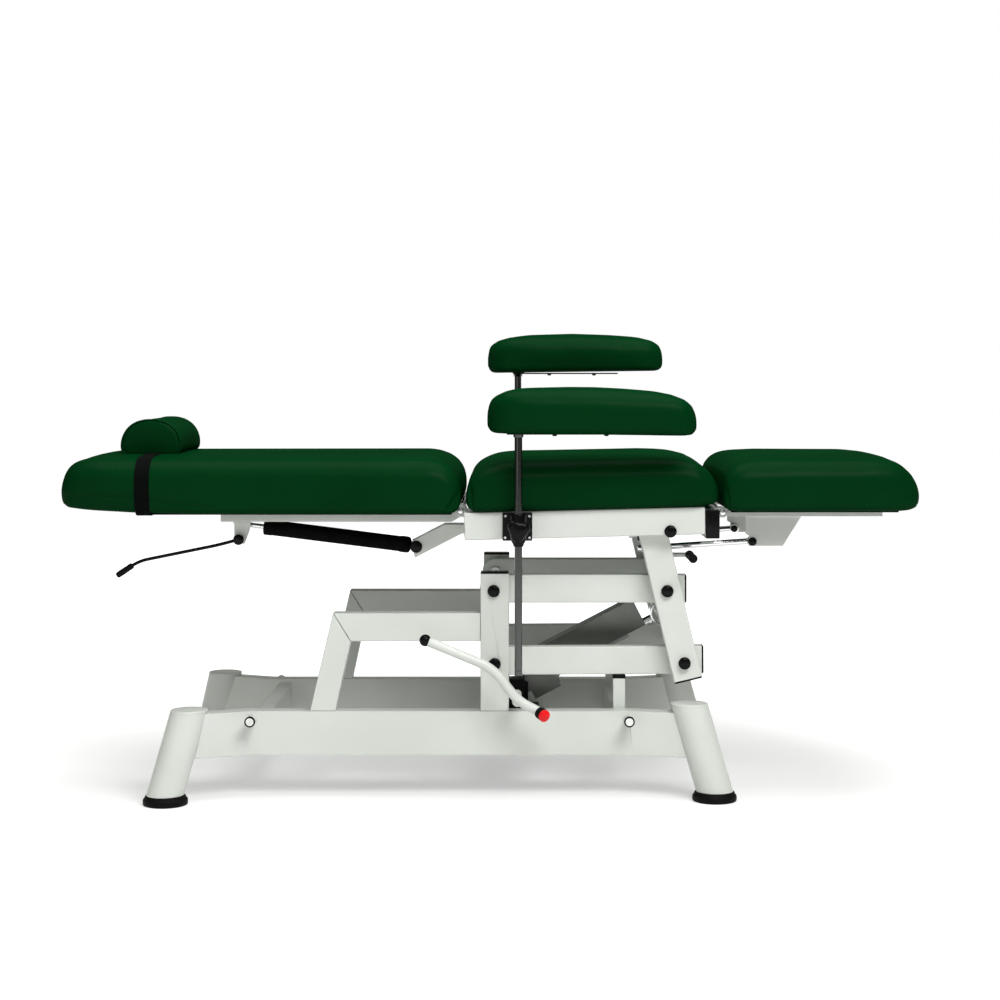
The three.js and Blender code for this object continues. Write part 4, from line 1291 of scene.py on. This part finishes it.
# ------------------------------------------------------------------ pillow
@dataclass
class Pillow:
    """A half-round head pillow with piped ends and the webbing band that holds it.

    It is widest at belly above its base, and rests on the share sole of its width.
    """

    piping: float = 0.0022
    band: float = 0.031
    band_thick: float = 0.0016
    belly: float = 0.016
    sole: float = 0.60
    spread: float = 0.0045

    def build(self, backrest: bpy.types.Object) -> None:
        """Builds the pillow, its piping and the band round the backrest.

        Args:
            backrest: The finished backrest cushion, which the band follows.
        """
        low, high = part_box("head_pillow")
        self.low, self.high = low, high
        self.x = (low.x + high.x) / 2
        self.half = (high.x - low.x) / 2 + self.spread
        body = self.roll()
        place(body, "headrest", "vinyl", "head_pillow")
        for side in Side:
            y = side.value * ((high.y - low.y) / 2 - 0.006)
            route = self.seam(body, side.value * ((high.y - low.y) / 2 - 0.010), y)
            cord = swept(f"pillow_piping_{side.tag}", route, circle(self.piping, 10), GREEN,
                         caps=False, up=(0, 1, 0.01))
            place(cord, "headrest", "vinyl")
        self.strap(backrest)

    def seam(self, body: bpy.types.Object, y: float, at: float) -> list[Vector]:
        """The closed line round the body's surface near an end.

        Args:
            body: The stuffed body.
            y: Where the body's surface is measured.
            at: The y that the line is drawn at.

        Returns:
            Points of the line, the first one repeated.
        """
        tree = BVHTree.FromObject(body, bpy.context.evaluated_depsgraph_get())
        centre = Vector((self.x, y, self.low.z + 0.030))
        route = []
        for a in angles(72):
            aim = Vector((math.cos(a), 0, math.sin(a)))
            hit = tree.ray_cast(centre + aim * 0.3, -aim)[0]
            route.append(Vector((hit.x, at, max(hit.z, self.low.z + 0.0015))))
        return route + [route[0]]

    def outline(self, scale: float, count: int) -> list[tuple[float, float]]:
        """The pillow's end outline: flat below with an arched top.

        Args:
            scale: Its size, about the middle of its base.
            count: Points along the arch.

        Returns:
            Points of (x, z).
        """
        tall = self.high.z - self.low.z
        points = []
        for i in range(count + 1):
            a = math.pi * i / count
            reach = abs(math.cos(a)) ** 0.85 * (1 if math.cos(a) > 0 else -1)
            points.append((self.x + self.half * scale * reach,
                           self.low.z + self.belly + (tall - self.belly) * scale
                           * math.sin(a) ** 0.95))
        under = []
        for i in range(1, 9):
            a = 0.5 * math.pi * i / 8
            under.append((self.half * scale * (self.sole + (1 - self.sole) * math.cos(a)),
                          self.low.z + self.belly * (1 - math.sin(a)) * scale + 0.0006))
        points += [(self.x - reach, z) for reach, z in under]
        points += [(self.x + self.half * scale * self.sole * (i / 6 - 1), under[-1][1])
                   for i in range(1, 12)]
        points += [(self.x + reach, z) for reach, z in reversed(under)]
        return points

    def roll(self) -> bpy.types.Object:
        """The stuffed body."""
        half_y = (self.high.y - self.low.y) / 2 - 0.003
        stations = [-1 + 2 * i / 44 for i in range(45)]
        rings = []
        for t in stations:
            edge = max(0.0, (abs(t) - 0.93) / 0.07)
            outline = self.outline(0.985 - 0.045 * edge * edge, 40)
            rings.append([(x, t * half_y, z) for x, z in outline])
        obj = skinned("pillow_cover", rings, GREEN, 60)
        obj = inflate(obj, 0.0045, 0.004)
        dress(obj, GREEN, 60)
        return obj

    def strap(self, backrest: bpy.types.Object) -> None:
        """The band: it follows the cushion's surface all the way round."""
        x = self.x + 0.009
        tree = BVHTree.FromObject(backrest, bpy.context.evaluated_depsgraph_get())
        centre = Vector((x, 0, 0.655))
        loop = []
        for a in angles(260):
            aim = Vector((0, math.cos(a) * 0.31, math.sin(a) * 0.055)).normalized()
            hit, normal, _, _ = tree.ray_cast(centre + aim * 0.9, -aim)
            if hit:
                outward = Vector((0, normal.y, normal.z)).normalized()
                loop.append((hit.y + outward.y * 0.0008, min(hit.z + outward.z * 0.0008, 0.99),
                             outward.y, outward.z))
        under = min(z for _, z, _, _ in loop)
        rings = []
        edges = [(-0.5, 0.15), (-0.47, 1.0), (-0.25, 0.92), (0, 0.9), (0.25, 0.92), (0.47, 1.0),
                 (0.5, 0.15), (0.48, -0.2), (-0.48, -0.2)]
        for y, z, ny, nz in loop:
            lift = -0.0034 if z < under + 0.004 else 0.0
            rings.append([(x + self.band * across, y + ny * self.band_thick * up,
                           z + lift + nz * self.band_thick * up) for across, up in edges])
        band = skinned("pillow_strap", rings, WEBBING, 50, caps=False, loop=True)
        place(band, "headrest", "vinyl")


# ------------------------------------------------------------------ controls
@dataclass
class Controls:
    """The pump pedal, both release levers and the gas spring."""

    spring_y: float = -0.150

    def build(self) -> None:
        """Builds each control."""
        self.pedal()
        self.back_release()
        self.leg_release()
        self.spring()

    def pedal(self) -> None:
        """A bent white tube with a black ball at one end and a red cap at the other."""
        y = -0.320
        corners = [(-0.141, y, 0.341), (0.000, y, 0.283), (0.050, y, 0.216),
                   (0.092, y - 0.002, 0.195), (0.101, y - 0.014, 0.190)]
        route = smooth_route(corners, 0.035)
        tube = rod("pedal_tube", route, 0.0100, WHITE, 0.12, 32)
        start, end = Vector(corners[0]), Vector(corners[-1])
        back = (start - Vector(corners[1])).normalized()
        out = (end - Vector(corners[-2])).normalized()
        ball = [(0.0125 * math.cos(a), 0.0125 * math.sin(a)) for a in
                [math.radians(-36 + 126 * i / 12) for i in range(13)]]
        ball[-1] = (0.0003, 0.0125)
        knob = turned("pedal_ball", ball, start, back, BLACK_PLASTIC, 36)
        collar = turned("pedal_collar", [
            (0.0100, -0.010), (0.0122, -0.009), (0.0128, -0.006), (0.0128, 0.003),
            (0.0120, 0.0045), (0.0004, 0.0045)], end, out, BLACK_RUBBER, 36)
        tip = turned("pedal_tip", [
            (0.0112, 0.002), (0.0124, 0.004), (0.0128, 0.008), (0.0122, 0.0115),
            (0.0095, 0.0142), (0.0050, 0.0156), (0.0003, 0.0160)], end, out, RED_PLASTIC, 36)
        hub = turned("pedal_hub", [
            (0.0004, 0.010), (0.0086, 0.010), (0.0092, 0.013), (0.0112, 0.016),
            (0.0112, 0.040), (0.0100, 0.042), (0.0092, 0.044), (0.0090, 0.118),
            (0.0004, 0.118)], (0.050, y - 0.014, 0.214), (0, 1, 0), WHITE, 40)
        whole = join("pedal_lever", [tube, hub, knob, collar, tip])
        place(whole, "pedal", "frame", "pump_pedal")

    def back_release(self) -> None:
        """The thin bent lever under the backrest, with a rubber grip."""
        y = self.spring_y - 0.042
        corners = [(-0.545, y, 0.540), (-0.590, y, 0.528), (-0.758, y, 0.494), (-0.800, y, 0.466)]
        lever = rod("back_lever_rod", smooth_route(corners, 0.02), 0.0035, BLACK_COAT, 0.2, 20)
        a, b = Vector(corners[2]), Vector(corners[3])
        along = (b - a).normalized()
        grip = turned("back_lever_grip", [
            (0.0036, 0), (0.0058, 0.0008), (0.0064, 0.003), (0.0066, 0.008), (0.0060, 0.012),
            (0.0066, 0.016), (0.0066, 0.030), (0.0062, 0.038), (0.0045, 0.0405),
            (0.0003, 0.0410)], b - along * 0.034, along, BLACK_RUBBER, 28)
        hub = turned("back_lever_hub", [
            (0.0004, 0), (0.0088, 0), (0.0100, 0.0012), (0.0100, 0.0068), (0.0088, 0.008),
            (0.0004, 0.008)], (-0.545, y - 0.005, 0.540), (0, 1, 0), BLACK_COAT, 36)
        whole = join("back_lever", [lever, grip, hub])
        place(whole, "back_lever", "black_plastic", "back_release")
        cap = DomedCap(0.0115, 0.0075)
        cap.build("cap_back_release", (-0.545, y - 0.0052, 0.540), (0, -1, 0), "back_lever")

    def leg_release(self) -> None:
        """The leg rest's lever: a bent bar and a fluted grip standing out sideways."""
        y = -0.200
        corners = [(0.346, y, 0.522), (0.366, y, 0.508), (0.417, y, 0.508)]
        bar = rod("leg_lever_bar", smooth_route(corners, 0.012), 0.0050, WHITE, 0.2, 20)
        hub = turned("leg_lever_hub", [
            (0.0004, 0), (0.0070, 0), (0.0080, 0.001), (0.0080, 0.012), (0.0070, 0.0135),
            (0.0004, 0.0140)], (0.346, y - 0.006, 0.522), (0, 1, 0), BLACK_COAT, 32)
        rings = []
        levels = [(-0.006, 0.50), (-0.004, 0.92), (0.0, 1.0), (0.010, 1.0), (0.020, 0.95),
                  (0.050, 0.93), (0.082, 0.97), (0.092, 1.0), (0.098, 0.90), (0.0995, 0.6)]
        for reach, scale in levels:
            ring = []
            for a in angles(60):
                flute = 0.0005 * (math.cos(10 * a) - 1) if 0.01 < reach < 0.09 else 0.0
                r = 0.0095 * scale + flute
                ring.append((0.417 + r * math.cos(a), y - reach, 0.508 + r * math.sin(a)))
            rings.append(ring)
        grip = skinned("leg_lever_grip", rings, BLACK_RUBBER, 50)
        whole = join("leg_lever", [bar, hub, grip])
        place(whole, "leg_lever", "black_plastic", "leg_release")

    def spring(self) -> None:
        """The gas spring's sleeve: a textured cover with rolled ends and its eye."""
        fixed = Vector(JOINT_AT["spring_tilt"])
        fixed.y = self.spring_y
        moving = Vector((-0.542, self.spring_y, 0.570))
        along = (moving - fixed).normalized()
        sleeve = turned("spring_sleeve", [
            (0.0090, 0.012), (0.0150, 0.0145), (0.0170, 0.017), (0.0176, 0.021),
            (0.0176, 0.034), (0.0166, 0.038), (0.0166, 0.120), (0.0167, 0.220),
            (0.0166, 0.312), (0.0174, 0.316), (0.0174, 0.327), (0.0168, 0.3305),
            (0.0120, 0.332), (0.0056, 0.332)], fixed, along, BLACK_SLEEVE, 48)
        eye = turned("spring_eye", [
            (0.0063, -0.009), (0.0120, -0.009), (0.0130, -0.008), (0.0130, 0.008),
            (0.0120, 0.009), (0.0063, 0.009)], fixed, (0, 1, 0), BLACK_COAT, 40)
        neck = turned("spring_neck", [
            (0.0088, 0.010), (0.0088, 0.016)], fixed, along, BLACK_COAT, 32)
        whole = join("spring_body", [sleeve, eye, neck])
        place(whole, "spring_barrel", "black_plastic", "spring_cylinder")
        cap = DomedCap(0.013, 0.006)
        cap.build("cap_spring_near", (fixed.x, -0.1765, fixed.z), (0, -1, 0), "carriage")


# ------------------------------------------------------------------ run
def main() -> None:
    """Builds the studio and the table's sub-assemblies in order."""
    logging.basicConfig(level=logging.INFO, format="%(message)s")
    Studio().build()
    SteelFrame().build()
    for side in Side:
        Foot("head", side, (-0.638, 0.272, 0.190)).build()
        Foot("foot", side, (0.411, 0.262, 0.202)).build()
    Fittings().build()
    Controls().build()
    Armrest(Side.NEAR, [
        (-0.0645, 0.036), (-0.063, 0.049), (-0.057, 0.0645), (-0.047, 0.0735), (-0.026, 0.083),
        (-0.005, 0.087), (0.105, 0.0895), (0.158, 0.0890), (0.217, 0.086), (0.276, 0.081),
        (0.315, 0.0755), (0.342, 0.066), (0.357, 0.054), (0.364, 0.040), (0.367, 0.030)]).build()
    Armrest(Side.FAR, [
        (-0.072, 0.034), (-0.070, 0.048), (-0.065, 0.061), (-0.046, 0.073), (-0.022, 0.079),
        (0.029, 0.084), (0.129, 0.087), (0.218, 0.084), (0.287, 0.079), (0.318, 0.073),
        (0.335, 0.063), (0.343, 0.049), (0.345, 0.036)], start=-0.072, end=0.345,
        sole=(-0.002, 0.003), hang=0.0005, sheet=(-0.012, 0.238)).build()
    Couch().build()


if __name__ == "__main__":
    main()
